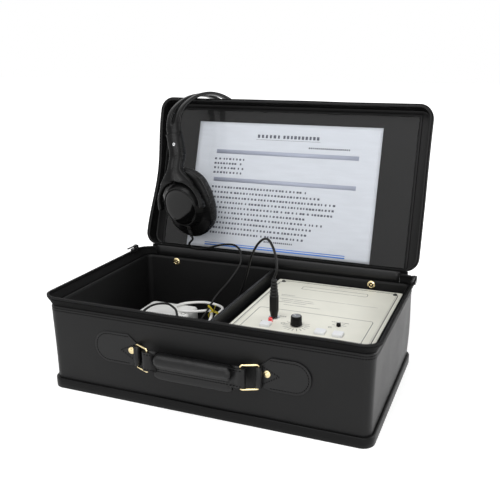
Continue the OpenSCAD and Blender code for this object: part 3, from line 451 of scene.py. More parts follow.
def repeated(name, paths, unit, pitch, material, uneven=0.0):
    """Sets copies of unit, drawn at the origin with its length on X and its top up Z, along paths."""
    verts, edges, ups = [], [], []
    for points, directions, closed in paths:
        start = len(verts)
        verts += [tuple(p) for p in points]
        ups += [c for d in directions for c in d]
        edges += [(start + i, start + i + 1) for i in range(len(points) - 1)]
        if closed:
            edges.append((start + len(points) - 1, start))
    mesh = bpy.data.meshes.new(name)
    mesh.from_pydata(verts, edges, [])
    mesh.attributes.new("up", "FLOAT_VECTOR", "POINT").data.foreach_set("vector", ups)
    made = added(name, mesh)
    rows = made.modifiers.new("rows", "NODES")
    rows.node_group = REPEAT
    given = {"Piece": unit, "Pitch": pitch * MM, "Uneven length": uneven, "Finish": material}
    for item in REPEAT.interface.items_tree:
        if item.name in given:
            rows[item.identifier] = given[item.name]
    applied(made)
    bpy.data.objects.remove(unit)
    return made


def bead(length, width, height):
    """A small round-ended bead along X, such as a stitch: flat below, domed above."""
    sides, stations = 6, [(-0.5, 0.25), (-0.36, 0.8), (0, 1), (0.36, 0.8), (0.5, 0.25)]
    verts = [mm(s * length, y * grow, z * grow) for s, grow in stations
             for y, z in arc(0, 0, width / 2, 0, 360, sides, height)[:-1]]
    faces = [tuple(range(sides)), tuple(range(len(verts) - sides, len(verts)))[::-1]]
    for i in range(len(stations) - 1):
        for k in range(sides):
            a, b = i * sides + k, i * sides + (k + 1) % sides
            faces.append((a, a + sides, b + sides, b))
    return piece("bead", verts, faces, None)


def stitches(name, paths, size, pitch, uneven=0.1):
    return repeated(name, paths, bead(*size), pitch, thread, uneven)


print("repeat tree:", len(REPEAT.nodes), "nodes")

# %% [markdown]
# ## Finishes
# Almost everything here is black, so the finishes differ by grain and gloss and hardly by colour.
# Four shader groups hold the effects that more than one finish uses: leather grain, woven cloth,
# moulded plastic and handled metal. Each has a pattern that gives a height for the bump and a mask
# that shifts colour and roughness. The Principled shader itself stays in each material.


# %% Patterns
def noise_at(tree, where, scale, detail=3, stretch=None):
    if stretch:
        where = node(tree, "ShaderNodeMapping", {"Vector": where, "Scale": stretch}).outputs[0]
    made = node(tree, "ShaderNodeTexNoise", {"Detail": detail, "Vector": where, "Scale": scale})
    return made.outputs["Fac"]


def coordinates(tree, kind="Object"):
    return node(tree, "ShaderNodeTexCoord").outputs[kind]


def one_over_grain(tree, given, factor=1):
    return math_node(tree, "DIVIDE", factor, given["Grain"])


def grain(tree, given):
    where = coordinates(tree)
    cells = node(tree, "ShaderNodeTexVoronoi", {"Vector": where, "Scale": one_over_grain(tree, given)},
                 feature="DISTANCE_TO_EDGE")
    valley = node(tree, "ShaderNodeMapRange", {"From Max": 0.25, "Value": cells.outputs["Distance"]})
    rough = math_node(tree, "MULTIPLY", noise_at(tree, where, 260), 0.7)
    return math_node(tree, "ADD", valley.outputs[0], rough), noise_at(tree, where, 22, 2)


def weave(tree, given):
    where = coordinates(tree, "UV")
    ribs = [node(tree, "ShaderNodeTexWave", {
        "Distortion": 0.6, "Vector": where, "Scale": one_over_grain(tree, given, 0.32)},
        bands_direction=direction).outputs["Fac"] for direction in ("X", "Y")]
    cross = math_node(tree, "MULTIPLY", *ribs)
    return cross, cross


def moulded(tree, given):
    where = coordinates(tree)
    return noise_at(tree, where, one_over_grain(tree, given), 2), noise_at(tree, where, 30, 4, (1, 1, 6))


def handled(tree, given):
    where = coordinates(tree)
    return noise_at(tree, where, one_over_grain(tree, given), 3, (1, 1, 0.12)), noise_at(tree, where, 45, 3)


# %% Shader groups
def bumped(tree, height, depth):
    return node(tree, "ShaderNodeBump", {"Strength": 1, "Distance": depth, "Height": height}).outputs[0]


def shader_group(name, pattern, low, high, spread):
    """An effect: its mask scales the colour from low to high and spreads the roughness."""
    tree = bpy.data.node_groups.new(name, "ShaderNodeTree")
    sockets(tree, "INPUT", ("Colour", "Color"), ("Roughness", "Float"), ("Depth", "Float"),
            ("Grain", "Float"))
    sockets(tree, "OUTPUT", ("Colour", "Color"), ("Roughness", "Float"), ("Normal", "Vector"))
    given = node(tree, "NodeGroupInput").outputs
    height, mask = pattern(tree, given)
    scale = node(tree, "ShaderNodeMapRange", {"Value": mask, "To Min": low, "To Max": high})
    tint = node(tree, "ShaderNodeVectorMath", {0: given["Colour"], "Scale": scale.outputs[0]},
                operation="SCALE")
    shift = math_node(tree, "MULTIPLY", math_node(tree, "SUBTRACT", mask, 0.5), spread)
    node(tree, "NodeGroupOutput", {
        "Colour": tint.outputs[0], "Roughness": math_node(tree, "ADD", given["Roughness"], shift),
        "Normal": bumped(tree, height, given["Depth"])})
    return tree


GROUPS = {
    "leather": shader_group("Leather grain", grain, 0.8, 1.2, 0.14),
    "cloth": shader_group("Woven cloth", weave, 0.7, 1.35, 0.1),
    "plastic": shader_group("Moulded plastic", moulded, 0.92, 1.08, 0.16),
    "metal": shader_group("Handled metal", handled, 0.85, 1.1, 0.2),
}
print("shader groups:", ", ".join(GROUPS))


# %% Every finish of the object
def material(name, inputs_in):
    """A material. inputs_in takes its tree and gives what goes into the Principled shader."""
    made = bpy.data.materials.new(name)
    made.use_nodes = True
    tree = made.node_tree
    fill(tree, tree.nodes["Principled BSDF"], inputs_in(tree))
    return made


def finish(name, effect, colour, roughness, grain_size, depth, sheen=0.5, metallic=0, coat=0):
    """A finish: one effect group and fixed values. A single number for its colour means a black."""
    if not isinstance(colour, tuple):
        colour = (colour, colour, colour * 1.03)

    def inputs_in(tree):
        group = node(tree, "ShaderNodeGroup", {
            "Colour": (*colour, 1), "Roughness": roughness, "Depth": depth * MM, "Grain": grain_size * MM,
        }, node_tree=GROUPS[effect]).outputs
        return {"Base Color": group["Colour"], "Roughness": group["Roughness"], "Normal": group["Normal"],
                "Specular IOR Level": sheen, "Metallic": metallic, "Coat Weight": coat}

    return material(name, inputs_in)


SOFT_SHEEN, DULL_SHEEN = 0.22, 0.12
leatherette = finish("leatherette", "leather", 0.0075, 0.4, 1.1, 0.05, 0.19)
lid_vinyl = finish("lid vinyl", "leather", 0.005, 0.4, 0.8, 0.02, 0.18)
band_vinyl = finish("band vinyl", "leather", 0.005, 0.4, 0.8, 0.03, DULL_SHEEN)
lining_cloth = finish("lining", "leather", 0.004, 0.62, 0.6, 0.03, SOFT_SHEEN)
divider_vinyl = finish("divider vinyl", "leather", 0.01, 0.34, 0.9, 0.04, SOFT_SHEEN)
strap_leather = finish("strap leather", "leather", 0.0085, 0.34, 0.9, 0.05, 0.25)
cushion_leather = finish("cushion leatherette", "leather", 0.01, 0.46, 0.7, 0.04, SOFT_SHEEN)
tape_cloth = finish("zip tape", "cloth", 0.004, 0.8, 0.9, 0.12, DULL_SHEEN)
thread = finish("thread", "plastic", 0.001, 0.7, 0.3, 0.02, 0.04)
tooth_nylon = finish("zip teeth", "plastic", 0.008, 0.38, 0.5, 0.01, SOFT_SHEEN)
enamel = finish("black enamel", "metal", 0.02, 0.3, 0.8, 0.01, metallic=0.4)
gilt = finish("pale gilt", "metal", (0.83, 0.69, 0.4), 0.22, 0.5, 0.005, metallic=1)
bare_metal = finish("bare metal", "metal", (0.62, 0.63, 0.64), 0.28, 0.4, 0.005, metallic=1)
paper = finish("paper", "plastic", (0.66, 0.69, 0.74), 0.6, 0.4, 0.01)
ink = finish("printed ink", "plastic", (0.11, 0.12, 0.15), 0.6, 0.4, 0.01)
ink_bar = finish("printed bar", "plastic", (0.44, 0.47, 0.57), 0.6, 0.4, 0.01)
ink_blue = finish("printed blue line", "plastic", (0.08, 0.25, 0.75), 0.6, 0.4, 0.01)
panel_paint = finish("cream panel", "plastic", (0.8, 0.79, 0.7), 0.42, 0.6, 0.01)
panel_ink = finish("panel print", "plastic", (0.03, 0.03, 0.035), 0.5, 0.4, 0.01)
black_plastic = finish("black plastic", "plastic", 0.01, 0.42, 0.7, 0.02, SOFT_SHEEN)
gloss_black = finish("gloss black", "plastic", 0.003, 0.08, 4, 0.01, 0.24)
satin_black = finish("satin black", "plastic", 0.005, 0.28, 0.6, 0.01, 0.13)
steel_screw = finish("blackened steel", "metal", 0.03, 0.35, 0.4, 0.01, metallic=0.8)
board_green = finish("circuit board", "plastic", (0.02, 0.13, 0.05), 0.35, 0.8, 0.01)
# Plain black for small dark parts; it also paints the shade in the screw's slot and in the adapter's hole.
chip_black = finish("chip", "plastic", 0.01, 0.5, 0.4, 0.01, SOFT_SHEEN)
key_white = finish("white key", "plastic", (0.78, 0.79, 0.8), 0.3, 0.5, 0.01)
cap_grey = finish("grey cap", "plastic", (0.2, 0.21, 0.22), 0.22, 0.8, 0.01)
plug_rubber = finish("plug moulding", "plastic", 0.005, 0.4, 0.6, 0.02, SOFT_SHEEN)
cord_rubber = finish("black cord", "plastic", 0.005, 0.42, 0.9, 0.01, SOFT_SHEEN)
white_plastic = finish("white plastic", "plastic", (0.88, 0.88, 0.86), 0.32, 0.6, 0.01)
white_rubber = finish("white cord", "plastic", (0.84, 0.84, 0.82), 0.4, 0.9, 0.01)
tie_paper = finish("yellow tie", "cloth", (0.85, 0.68, 0.04), 0.5, 0.6, 0.03)
wrap_blue = finish("battery wrap", "plastic", (0.03, 0.05, 0.07), 0.35, 0.6, 0.01)
speaker_cloth = finish("speaker cloth", "cloth", 0.01, 0.9, 0.7, 0.1, 0.5)
lamp_red = finish("red lamp", "plastic", (0.75, 0.015, 0.02), 0.12, 2, 0.005, coat=1)
print("finishes:", len(bpy.data.materials))

# %% [markdown]
# ### Clear vinyl
# The pocket is a clear film in front of the sheet. Real glass would darken what lies behind it, so the
# film is a bright mirror that is nearly all see-through: its alpha rises at a grazing angle, as the
# reflection of a film does, and a slow bump gives the wavy look of soft vinyl.

# %% The clear film
FILM_MIRROR, FILM_WAVES, FILM_WAVE_DEPTH = 0.45, 9, 4 * MM


def film_inputs(tree):
    edge = node(tree, "ShaderNodeFresnel", {"IOR": 1.5})
    return {"Base Color": (1, 1, 1, 1), "Metallic": 1, "Roughness": 0.06,
            "Alpha": math_node(tree, "MULTIPLY", edge.outputs[0], FILM_MIRROR),
            "Normal": bumped(tree, noise_at(tree, coordinates(tree), FILM_WAVES, 2), FILM_WAVE_DEPTH)}


clear_vinyl = material("clear vinyl", film_inputs)
print("clear film ready")

# %% [markdown]
# ## Floor and light
# The picture has a pure white ground. The floor is white for every ray and takes the object's shadow,
# and a glow that only the camera sees lifts it to white, more so far from the object, where the lamps
# don't reach. The world is white where it is seen or mirrored, and dimmer where it lights. Three large
# soft lamps give the light: one above, one in front for the lid, and one at the right, which makes the
# right wall paler than the front.


# %% White floor
def seen_directly(tree):
    """1 on rays that look or mirror or pass through, 0 on rays that gather light."""
    rays = node(tree, "ShaderNodeLightPath").outputs
    seen = math_node(tree, "MAXIMUM", rays["Is Camera Ray"], rays["Is Glossy Ray"])
    return math_node(tree, "MAXIMUM", seen, rays["Is Transmission Ray"])


def floor_inputs(tree):
    away = node(tree, "ShaderNodeVectorMath", {0: coordinates(tree)}, operation="LENGTH")
    rise = node(tree, "ShaderNodeMapRange", {
        "From Min": 0.45, "From Max": 1.1, "To Min": 0.5, "To Max": 1, "Value": away.outputs["Value"]})
    glow = math_node(tree, "MULTIPLY", seen_directly(tree), rise.outputs[0])
    return {"Base Color": (0.82, 0.82, 0.82, 1), "Roughness": 0.9, "Specular IOR Level": 0,
            "Emission Color": (1, 1, 1, 1), "Emission Strength": glow}


floor = piece("floor", [(-9, -9, 0), (9, -9, 0), (9, 9, 0), (-9, 9, 0)], [(0, 1, 2, 3)],
              material("white floor", floor_inputs), smooth=False)
print("floor", floor.dimensions.x, "m wide")

# %% World and lamps
WORLD_SEEN, WORLD_LIGHTING = 1, 0.48
world = bpy.data.worlds.new("studio")
bpy.context.scene.world = world
world.use_nodes = True
sky = world.node_tree
more = math_node(sky, "MULTIPLY", seen_directly(sky), WORLD_SEEN - WORLD_LIGHTING)
fill(sky, sky.nodes["Background"], {
    "Color": (1, 1, 1, 1), "Strength": math_node(sky, "ADD", more, WORLD_LIGHTING)})


def lamp(name, place, aim, size, watts):
    made = added(name, bpy.data.lights.new(name, "AREA"))
    made.data.shape, made.data.size, made.data.energy = "SQUARE", size, watts
    made.location = place
    made.rotation_euler = (Vector(aim) - Vector(place)).to_track_quat("-Z", "Y").to_euler()


lamp("lamp above", (-0.3, -0.9, 1.9), (0, 0, 0.1), 1.3, 20)
lamp("lamp right", (1.75, 0.75, 0.6), (0, 0, 0.1), 1.1, 20)
lamp("lamp front", (1.0, -1.9, 0.9), (0, 0.2, 0.25), 1.3, 15)
bpy.context.scene.view_settings.view_transform = "Standard"

# %% [markdown]
# ## Cords
# The headset's black cord leaves the front cup, runs behind the case's rim, drops in, loops over the
# adapter and goes down to its spare turns on the floor of the compartment. From these it rises to
# the plug in one high arch. The adapter's white cord makes one long loop that a yellow tie holds, and
# its spare turns lie beside the black ones. Each cord is a tube along a curve through a few route
# points. The black one is cut into five pieces, because each joint that it crosses needs its own bend.

# %% Routes of the black cord
CORD_R, WHITE_R = 1.6, 2
BASE = 6.3
PLUG_X, PLUG_Y = 63.85, -34


def route(points):
    return [mm(*p) for p in points]


def run_length(points):
    return sum((b - a).length for a, b in zip(points, points[1:]))


def coil_line(x, y, inner, pitch, radius):
    """Two nested stacks of three turns: down on the outside, and up again on the inside."""
    points = []
    for turn in (i / 48 for i in range(int(6.5 * 48) + 1)):
        down = min(turn, 3) if turn <= 3.5 else 6.5 - turn
        r = inner + pitch * (1 - eased((turn - 3) / 0.5))
        a = math.pi + 2 * math.pi * turn
        points.append(mm(x + r * math.cos(a), y + r * math.sin(a), BASE + radius + (3 - down) * pitch))
    return points


FRONT_CUP = HUNG @ CUP
upper = [FRONT_CUP @ mm(0, 1, -50.9), FRONT_CUP @ mm(0, 1, -55)]
upper += route([(-134, 119, 138), (-130, 122, 132), (-122, 122, 131)])
lower = route([
    (-121.2, 122, 131), (-112, 122, 132), (-102, 121, 134), (-88, 121, 139), (-72, 120, 143),
    (-56, 117, 144), (-44, 110, 138), (-39, 98, 122), (-47, 76, 102), (-56, 48, 86), (-62, 14, 64),
    (-66, -16, 56),
    (-70, -38, 72), (-84, -18, 82), (-102, 6, 78), (-120, 16, 78), (-138, 4, 76), (-144, -24, 66),
    (-144, -44, 42), (-139, -62, 24), (-137.6, -74, 18.7),
])
black_turns = coil_line(-118, -74, 16, 3.6, CORD_R)
to_plug = route([
    (PLUG_X, PLUG_Y, 155), (67, -33, 168), (60, -24, 187), (45, -8, 196), (28, 6, 186), (13, 16, 163),
    (2, 24, 132), (-10, 28, 102), (-24, 18, 70), (-44, -20, 42), (-70, -44, 34), (-98, -58, 24),
    (-102, -74, 18.7),
])
from_cup = curve_through(upper, 6) + curve_through(lower, 6)[1:]
print("black cord:", round(run_length(from_cup), 3), "+", round(run_length(black_turns), 3), "m")


# %% Black cord in five pieces
def cut_at(points, lengths):
    """Cuts a line into pieces at these distances from its start; the last piece takes the rest."""
    pieces, line, gone, ends = [], [points[0]], 0, list(lengths)
    for a, b in zip(points, points[1:]):
        step = (b - a).length
        while ends and gone + step >= ends[0]:
            cut = a + (b - a) * ((ends.pop(0) - gone) / step)
            pieces.append(line + [cut])
            line = [cut]
        if (b - line[-1]).length > 1e-6:
            line.append(b)
        gone += step
    return pieces + [line]


def cord_piece(name, line, radius, material, nodes, bend=None):
    made = tube(name, line, radius, material)
    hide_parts(*nodes)
    if bend:
        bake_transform(made)
    else:
        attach(made, "case")
    tuple(line[0])
    run_length(line)
    [tuple(p) for p in line]


CUTS = (0.031, 0.065, 0.1)
SPANS = (("cord_at_cup", "cup_front", "arm_front", "headset_cord_upper", -1),
         ("cord_behind_rim", "arm_front", "headset", "headset_cord_upper", -1),
         ("cord_over_hinge", "headset", "lid", "headset_cord_lower", -1),
         ("cord_in_case", "lid", "case", "headset_cord_lower", 40))
for line, (name, start, end, stands_for, last) in zip(cut_at(from_cup, CUTS), SPANS):
    cord_piece(name, line, CORD_R, cord_rubber, [stands_for],
               (start, end, tuple(line[0]), tuple(line[last])))
    print(name, round(run_length(line), 3), "m")

# %% [markdown]
# ### The plug and its cord
# The jack plug's handle is turned: a barrel that widens upwards, then a bend relief cut into rings,
# which lets it flex. The rings are part of the profile, because they are few and share its axis.

# %% Plug handle
plug_profile = [(0, 0), (3.9, 0), (4.3, 0.4), (5.4, 7.2), (5.8, 8), (5.8, 27.6), (5.4, 28.6), (4.4, 29)]
plug_profile += ribs(5, 4.1, (4.1, -0.38, 29.6), (5.3, -0.38, 30), (5.3, -0.38, 32.1), (4.1, -0.38, 32.6))
plug_profile += [(2.4, 50.2), (2, 51), (0, 51)]


def grooved(v, angle, count, depth, fade, power=1):
    """Flutes round a barrel: depth is their share of the radius, and fade takes them out at its ends."""
    wave = (0.5 + 0.5 * math.cos(angle * count)) ** power
    return v - Vector((v.x, v.y, 0)) * depth * clamped(fade) * wave


def gripped(v, angle):
    return grooved(v, angle, 14, 0.07, min((v.z / MM - 9) / 4, (28 - v.z / MM) / 4))


plug_moulding = turned("plug_moulding", finer(plug_profile, 2), plug_rubber, 84,
                       at(PLUG_X, PLUG_Y, 103.4), gripped)
finished(plug_moulding, "plug", "plug_black", "plug_handle")

# %% Spare turns and the stretch up to the plug
plug_line = black_turns[:-1] + curve_through(to_plug, 10)[::-1]
bends_between = [tuple(mm(PLUG_X, PLUG_Y, z)) for z in (70, 150)]
cord_piece("cord_coil_and_plug_end", plug_line, CORD_R, cord_rubber,
           ["headset_coil", "headset_cord_plug_end"],
           ("case", "plug", *bends_between))
print("cord to the plug:", round(run_length(plug_line), 3), "m")

# %% [markdown]
# ### The white cord
# The adapter's cord is stiffer and a little thicker. A paper-covered tie holds its three strands, and
# its own small plug ends it. The tie is one flat strip bent round the strands, and its two ends stand
# off to the side.

# %% White cord, its plug and its tie
white_run = route([
    (-74, 11, 50), (-60, 9, 51), (-48, 9, 56), (-43, 24, 69), (-44, 44, 70), (-60, 62, 67),
    (-84, 68, 66), (-108, 56, 66), (-116, 38, 66), (-102, 26, 66), (-80, 28, 67), (-60, 33, 69),
    (-51, 22, 68), (-46, 6, 66), (-47, -6, 50), (-52, -18, 34), (-72, -40, 28), (-87, -62, 24),
    (-86, -86, 21.8),
])
white_tail = route([(-42.5, -86, 21.8), (-41, -70, 25), (-32, -56, 22), (-20, -58, 14), (-16, -74, 11.6)])
white_turns = coil_line(-62, -86, 19.5, 4.5, WHITE_R)
white_line = curve_through(white_run, 8)[:-1] + white_turns[:-1] + curve_through(white_tail, 8)

barrel = [(0, 0), (3.2, 0), (4.2, 0.8), (4.8, 4), (5, 6), (5, 18.6), (4.6, 19.7), (3.4, 20), (2.75, 20),
          (2.75, 29.6), (2.4, 30), (0, 30)]
small_plug = turned("small_plug", barrel, white_plastic, 40, at(-16, -74, 11.6, ("X", 90)))
finished(small_plug, "case", "adapter_white", "adapter_cord")

TIE_R, TIE_HALF_T, TIE_HALF_W = 7.65, 0.35, 2
verts = []
for x, y in arc(0, 0, 1, 0, 360, 40)[:-1]:
    for out, up in ((-1, -1), (1, -1), (1, 1), (-1, 1)):
        r = TIE_R + TIE_HALF_T * out
        verts.append(mm(x * r, y * r, TIE_HALF_W * up))
n = len(verts)
faces = [(i + j, (i + 4) % n + j, (i + 4) % n + (j + 1) % 4, i + (j + 1) % 4)
         for i in range(0, n, 4) for j in range(4)]
tie_parts = [piece("loop", verts, faces, tie_paper)]
for lean in (-34, 22):
    end = block("end", (-TIE_HALF_T, -12, -TIE_HALF_W), (TIE_HALF_T, 0, TIE_HALF_W), tie_paper, 0.1)
    tie_parts.append(moved(end, at(0, 0.3 - TIE_R, 0, ("Z", lean))))
tie_strip = moved(joined("cord_tie_strip", tie_parts), at(-47, 22, 67.5, ("Z", 7), ("X", -74)))
finished(tie_strip, "case", "tie_yellow", "cord_tie")
cord_piece("white_cord", white_line, WHITE_R, white_rubber, ["adapter_cord", "adapter_coil"])
print("white cord:", round(run_length(white_line), 3), "m")

# %% [markdown]
# ## The case
# The walls are thin board in soft leatherette, so they aren't quite flat: they widen a little to the
# top and swell between the corners. Each shell here is skinned from rows of points that follow a
# rounded rectangle, and a slow noise moves the rows. A plain box would show at once as too straight.

# %% Walls and foot band
CASE_W, CASE_D, CASE_R, WALL_TOP = 421, 244, 12, 113.7
BEHIND_HANDLE, HANDLE_ROOM = 70, 110


def grown(by, z):
    return rounded_loop(CASE_W + 2 * by, CASE_D + 2 * by, CASE_R + by, z)


def spread(z):
    """How far the soft walls stand outside the board's own line at a height."""
    return -0.75 + 2 * z / WALL_TOP


def swelling(p, amount, scale, low, high):
    """Moves a point sideways by a slow noise. It fades out at two heights and behind the handle."""
    fade = clamped(min((p.z / MM - low) / 15, (high - p.z / MM) / 12))
    if p.y < -0.1 and abs(p.x) < HANDLE_ROOM * MM:
        fade *= max(0.1, (abs(p.x) / MM - BEHIND_HANDLE) / (HANDLE_ROOM - BEHIND_HANDLE))
    sideways = abs(p.x) / CASE_W > abs(p.y) / CASE_D
    out = Vector((math.copysign(1, p.x), 0, 0)) if sideways else Vector((0, math.copysign(1, p.y), 0))
    return p + out * amount * MM * fade * (noise.noise(p * scale) + 0.3 * noise.noise(p * scale * 3.1))


def soft_wall(p):
    return swelling(p, 1.3, 9, 14, 112)


TOP_SPREAD = spread(WALL_TOP)
levels = [1.6, 8, 13, 16] + [16 + 7.5 * k for k in range(1, 13)] + [109.5, 112.6]
wall = [(spread(z), z) for z in levels]
wall += [(TOP_SPREAD - 0.8, WALL_TOP), (TOP_SPREAD - 3.4, WALL_TOP), (-4, 112), (-4, 1.6)]
case_shell = lofted("case_shell", [grown(*level) for level in wall], leatherette, ring=True,
                    change=soft_wall)
finished(case_shell, "case", "leatherette", "case_walls")

band = [(-8, 0), (2.2, 0), (2.9, 0.6), (3, 6), (3, 11.8), (2.6, 12.9), (1.6, 13.3), (-1.4, 13.3),
        (-1.4, 1.5), (-8, 1.5)]
vinyl_band = lofted("vinyl_band", [grown(*level) for level in band], band_vinyl,
                    change=lambda p: p + UP * 0.5 * MM * noise.noise(p * 14) if p.z > 11 * MM else p)
finished(vinyl_band, "case", "binding_vinyl", "foot_band")
print("case shell:", len(case_shell.data.polygons), "faces")

# %% Lining and divider
inside = [(1, 6.1), (1, 60), (1, 113.6), (0, 113.6)] + [(0, z) for z in range(110, 0, -10)] + [(0, 7.1)]
inside = [rounded_loop(411.4 + 1.6 * out, 234.4 + 1.6 * out, 7.2 + 0.8 * out, z) for out, z in inside]
inside += [rounded_loop(380, 200, 4, 7.1), rounded_loop(380, 200, 4, 6.3), rounded_loop(411, 234, 7, 6.2)]
lining = lofted("soft_lining", inside, lining_cloth,
                change=lambda p: swelling(p, -0.5, 17, 12, 110) if p.z > 8 * MM else p)
finished(lining, "case", "lining", "inner_lining")
covered_divider = block("covered_divider", (4, -117.1, 7.1), (9, 117.1, WALL_TOP), divider_vinyl, 1.7, 4)
finished(covered_divider, "case", "divider_cover", "divider")
print("lining:", len(lining.data.polygons), "faces")

# %% [markdown]
# ### Zip and hinge
# The zip runs round three sides and both back corners; the back itself is the hinge. So the tape and
# the chain follow a loop that is cut open between the two ends of the hinge. The teeth are one small
# block that the repeating tree sets every 2.2 mm.

# %% Zip tape, chain and teeth
HINGE_HALF = 192.8
RIM_W, RIM_D, RIM_Y, RIM_R = 436, 252.5, -3.25, 22
SLIDER_LINE = 212
TOOTH_PITCH = 2.2


def opened(points):
    """The loop without its back, from the hinge's left end round the front to its right end."""
    back = max(p.y for p in points)
    kept = [i for i, p in enumerate(points) if abs(p.y - back) > 1e-6 or abs(p.x) > HINGE_HALF * MM]
    first = next(i for i in kept if points[i].x < 0 and i - 1 not in kept)
    line = [points[(first + k) % len(points)] for k in range(len(kept))]
    left, right = (Vector((side * HINGE_HALF * MM, back, points[0].z)) for side in (-1, 1))
    return [left] + line + [right]


def rim_loop(inset, z):
    return opened(rounded_loop(RIM_W - 2 * inset, RIM_D - 2 * inset, RIM_R - inset, z, RIM_Y))


def tape_row(inset, share):
    return [a.lerp(b, share) for a, b in zip(opened(grown(-inset, WALL_TOP)), rim_loop(inset, 124.6))]


def limp(p):
    """Small waves of the tape's free edge, less so on the sides, where the sliders run."""
    share = max(0, (p.z / MM - WALL_TOP) / 11) * (0.25 if abs(p.x) > SLIDER_LINE * MM else 1)
    waves = (noise.noise(p * 26), noise.noise(p * 26 + Vector((5, 5, 5))), 0.5 * noise.noise(p * 15))
    return p + Vector(waves) * 0.9 * MM * share


shares = (0, 0.25, 0.5, 0.75, 1)
tape_rows = [tape_row(0, s) for s in shares] + [tape_row(1.6, s) for s in shares[::-1]]
zip_tape = lofted("zip_tape_soft", tape_rows, tape_cloth, around=False, ring=True, change=limp)
finished(zip_tape, "case", "zip_tape", "zip_tape_case")
core_rows = [rim_loop(i, z) for i, z in ((0.5, 124.4), (0.5, 126.7), (2.5, 126.7), (2.5, 124.4))]
core = lofted("core", core_rows, tooth_nylon, around=False, ring=True, change=limp)
tooth_line = [limp(p) for p in rim_loop(1.5, 126.2)]
tooth = unit(1.1, 3, -1.5, 1.3, tooth_nylon, 0.3)
teeth = repeated("teeth", [path(tooth_line, UP)], tooth, TOOTH_PITCH, tooth_nylon)
print("zip teeth:", len(teeth.data.polygons), "faces")
finished(joined("zip_chain_soft", [core, teeth]), "case", "zip_teeth", "zip_chain_case")

# %% Stitches under the tape
wall_stitches = []
for z in (110.6, 107.4):
    line = [soft_wall(p) for p in grown(spread(z) + 0.1, z)]
    wall_stitches.append(path(line, outs_of(line), closed=True))
case_stitches = stitches("case_stitches", wall_stitches, (2.6, 1.1, 0.3), 3.3, 0.12)
finished(case_stitches, "case", "leatherette")
print("stitches round the case:", len(case_stitches.data.polygons), "faces")

# %% Hinge strip
gusset = [(120.1, 113.8), (122.4, 113.8), (122.7, 119), (122.6, 124.5)]
gusset += arc(HINGE_Y, HINGE_Z, 1.6, 220, 500, 16) + [(121.6, 126.2), (120.4, 122)]
hinge_cover = lofted("hinge_cover", drawn_along(gusset, 192.5, 60), divider_vinyl,
                     change=lambda p: p - FORWARD * 0.35 * MM * noise.noise(p * 30) if p.z < 0.125 else p)
finished(hinge_cover, "case", "leatherette", "hinge_strip")
print("hinge cover:", len(hinge_cover.data.polygons), "faces")

# %% Sliders' pulls
tongue_left = [(-1.4, 1), (-1.5, -7), (-1.25, -10), (-1.25, -17), (-1.5, -20), (-1.4, -23.4), (-0.9, -24)]
eye_ring = [(1.3, -1.5), (2.1, -1.5), (2.3, -1.2), (2.3, 1.2), (2.1, 1.5), (1.3, 1.5), (1.3, -1.5)]
for side, name in ((-1, "left"), (1, "right")):
    tongue = plate("tongue", mirrored(tongue_left), 0.2, 1.8, enamel, 0.35)
    eye = turned("eye", eye_ring, enamel, 28, at(0, 0, 0, ("Y", 90)))
    pull = moved(joined("zip_pull_metal_" + name, [tongue, eye]), at(side * 216.5, 98, 132.1))
    finished(pull, "pull_" + name, "zip_metal", "zip_pull_" + name)
print("two zip pulls")

# %% Snap sockets on the back wall
socket_profiles = (
    ([(3, 0), (3, 1.5), (3.3, 2.1), (3.9, 2.1), (4.4, 1.5), (5.3, 1.4), (5.8, 1), (6, 0), (3, 0)], gilt),
    ([(0, 0), (3.1, 0), (3.1, 0.5), (0, 0.5)], chip_black),
    ([(0, 0.4), (1.2, 0.4), (1.2, 1.5), (0.8, 1.9), (0, 2)], gilt))
sockets_made = [turned("socket", profile, paint, 40, at(x, 117.2, 107.5, ("X", 90)))
                for x in (-156, 154) for profile, paint in socket_profiles]
finished(joined("snap_sockets", sockets_made), "case", "gilt_metal", "wall_snaps")
print("two snap sockets")

# %% [markdown]
# ## The handle
# Two leather tabs are riveted and sewn to the front wall. Each holds a rectangular brass ring, and the
# grip hangs between them: leather rolled round a core, with its two edges sewn flat below the roll.

# %% Leather tabs with their stitches
WALL_Y, TAB_Z, TAB_R = -122, 71, 20.5
RING_X, RING_Y, RING_Z, RING_REST = 80, -127, 67, 24
ON_WALL = at(0, WALL_Y, TAB_Z, ("X", 90))
fold = [(1.5, 0), (3.7, 0), (4.2, 0.5), (4.2, 25.3), (3.7, 25.8), (1.5, 25.8), (1.5, 0)]
dome = [(0, 1.75), (1.2, 1.7), (2.2, 1.35), (2.7, 0.95), (3.6, 0.9), (4.2, 0.7), (4.5, 0.3),
        (4.5, -0.4), (0, -0.4)]


def tab_outline(side, inset=0):
    r = TAB_R - inset
    points = [(RING_X, -16.9 + inset), (94, -r)] + arc(121.5, 0, r, -90, 90, 24)
    points += [(94, r), (RING_X, 8.9 - inset)]
    return [(side * x, y) for x, y in points[::side]]


tab_parts, tab_lines, rivets = [], [], []
for side in (-1, 1):
    tab_parts.append(plate("tab", tab_outline(side), 0, 2.5, strap_leather, 0.8, ON_WALL))
    tab_parts.append(turned("fold", fold, strap_leather, 36, at(side * RING_X, RING_Y, 54.1)))
    around = [mm(x, y, 2.55) for x, y in tab_outline(side, 3)]
    corner = [mm(side * x, y, 2.55) for x, y in ((86, -12), (104, -1), (86, 7.5))]
    tab_lines += [path(around[1:-1], UP, ON_WALL), path(corner, UP, ON_WALL)]
    rivets.append(turned("rivet", dome, gilt, 36, at(side * 89, WALL_Y - 2.5, TAB_Z, ("X", 90))))
tab_parts.append(stitches("tab_stitches", tab_lines, (2.5, 1.1, 0.3), 3.4))
finished(joined("leather_tabs", tab_parts), "case", "handle_leather", "handle_tabs")
finished(joined("brass_rivets", rivets), "case", "gilt_metal", "tab_rivets")
print("tabs and rivets")

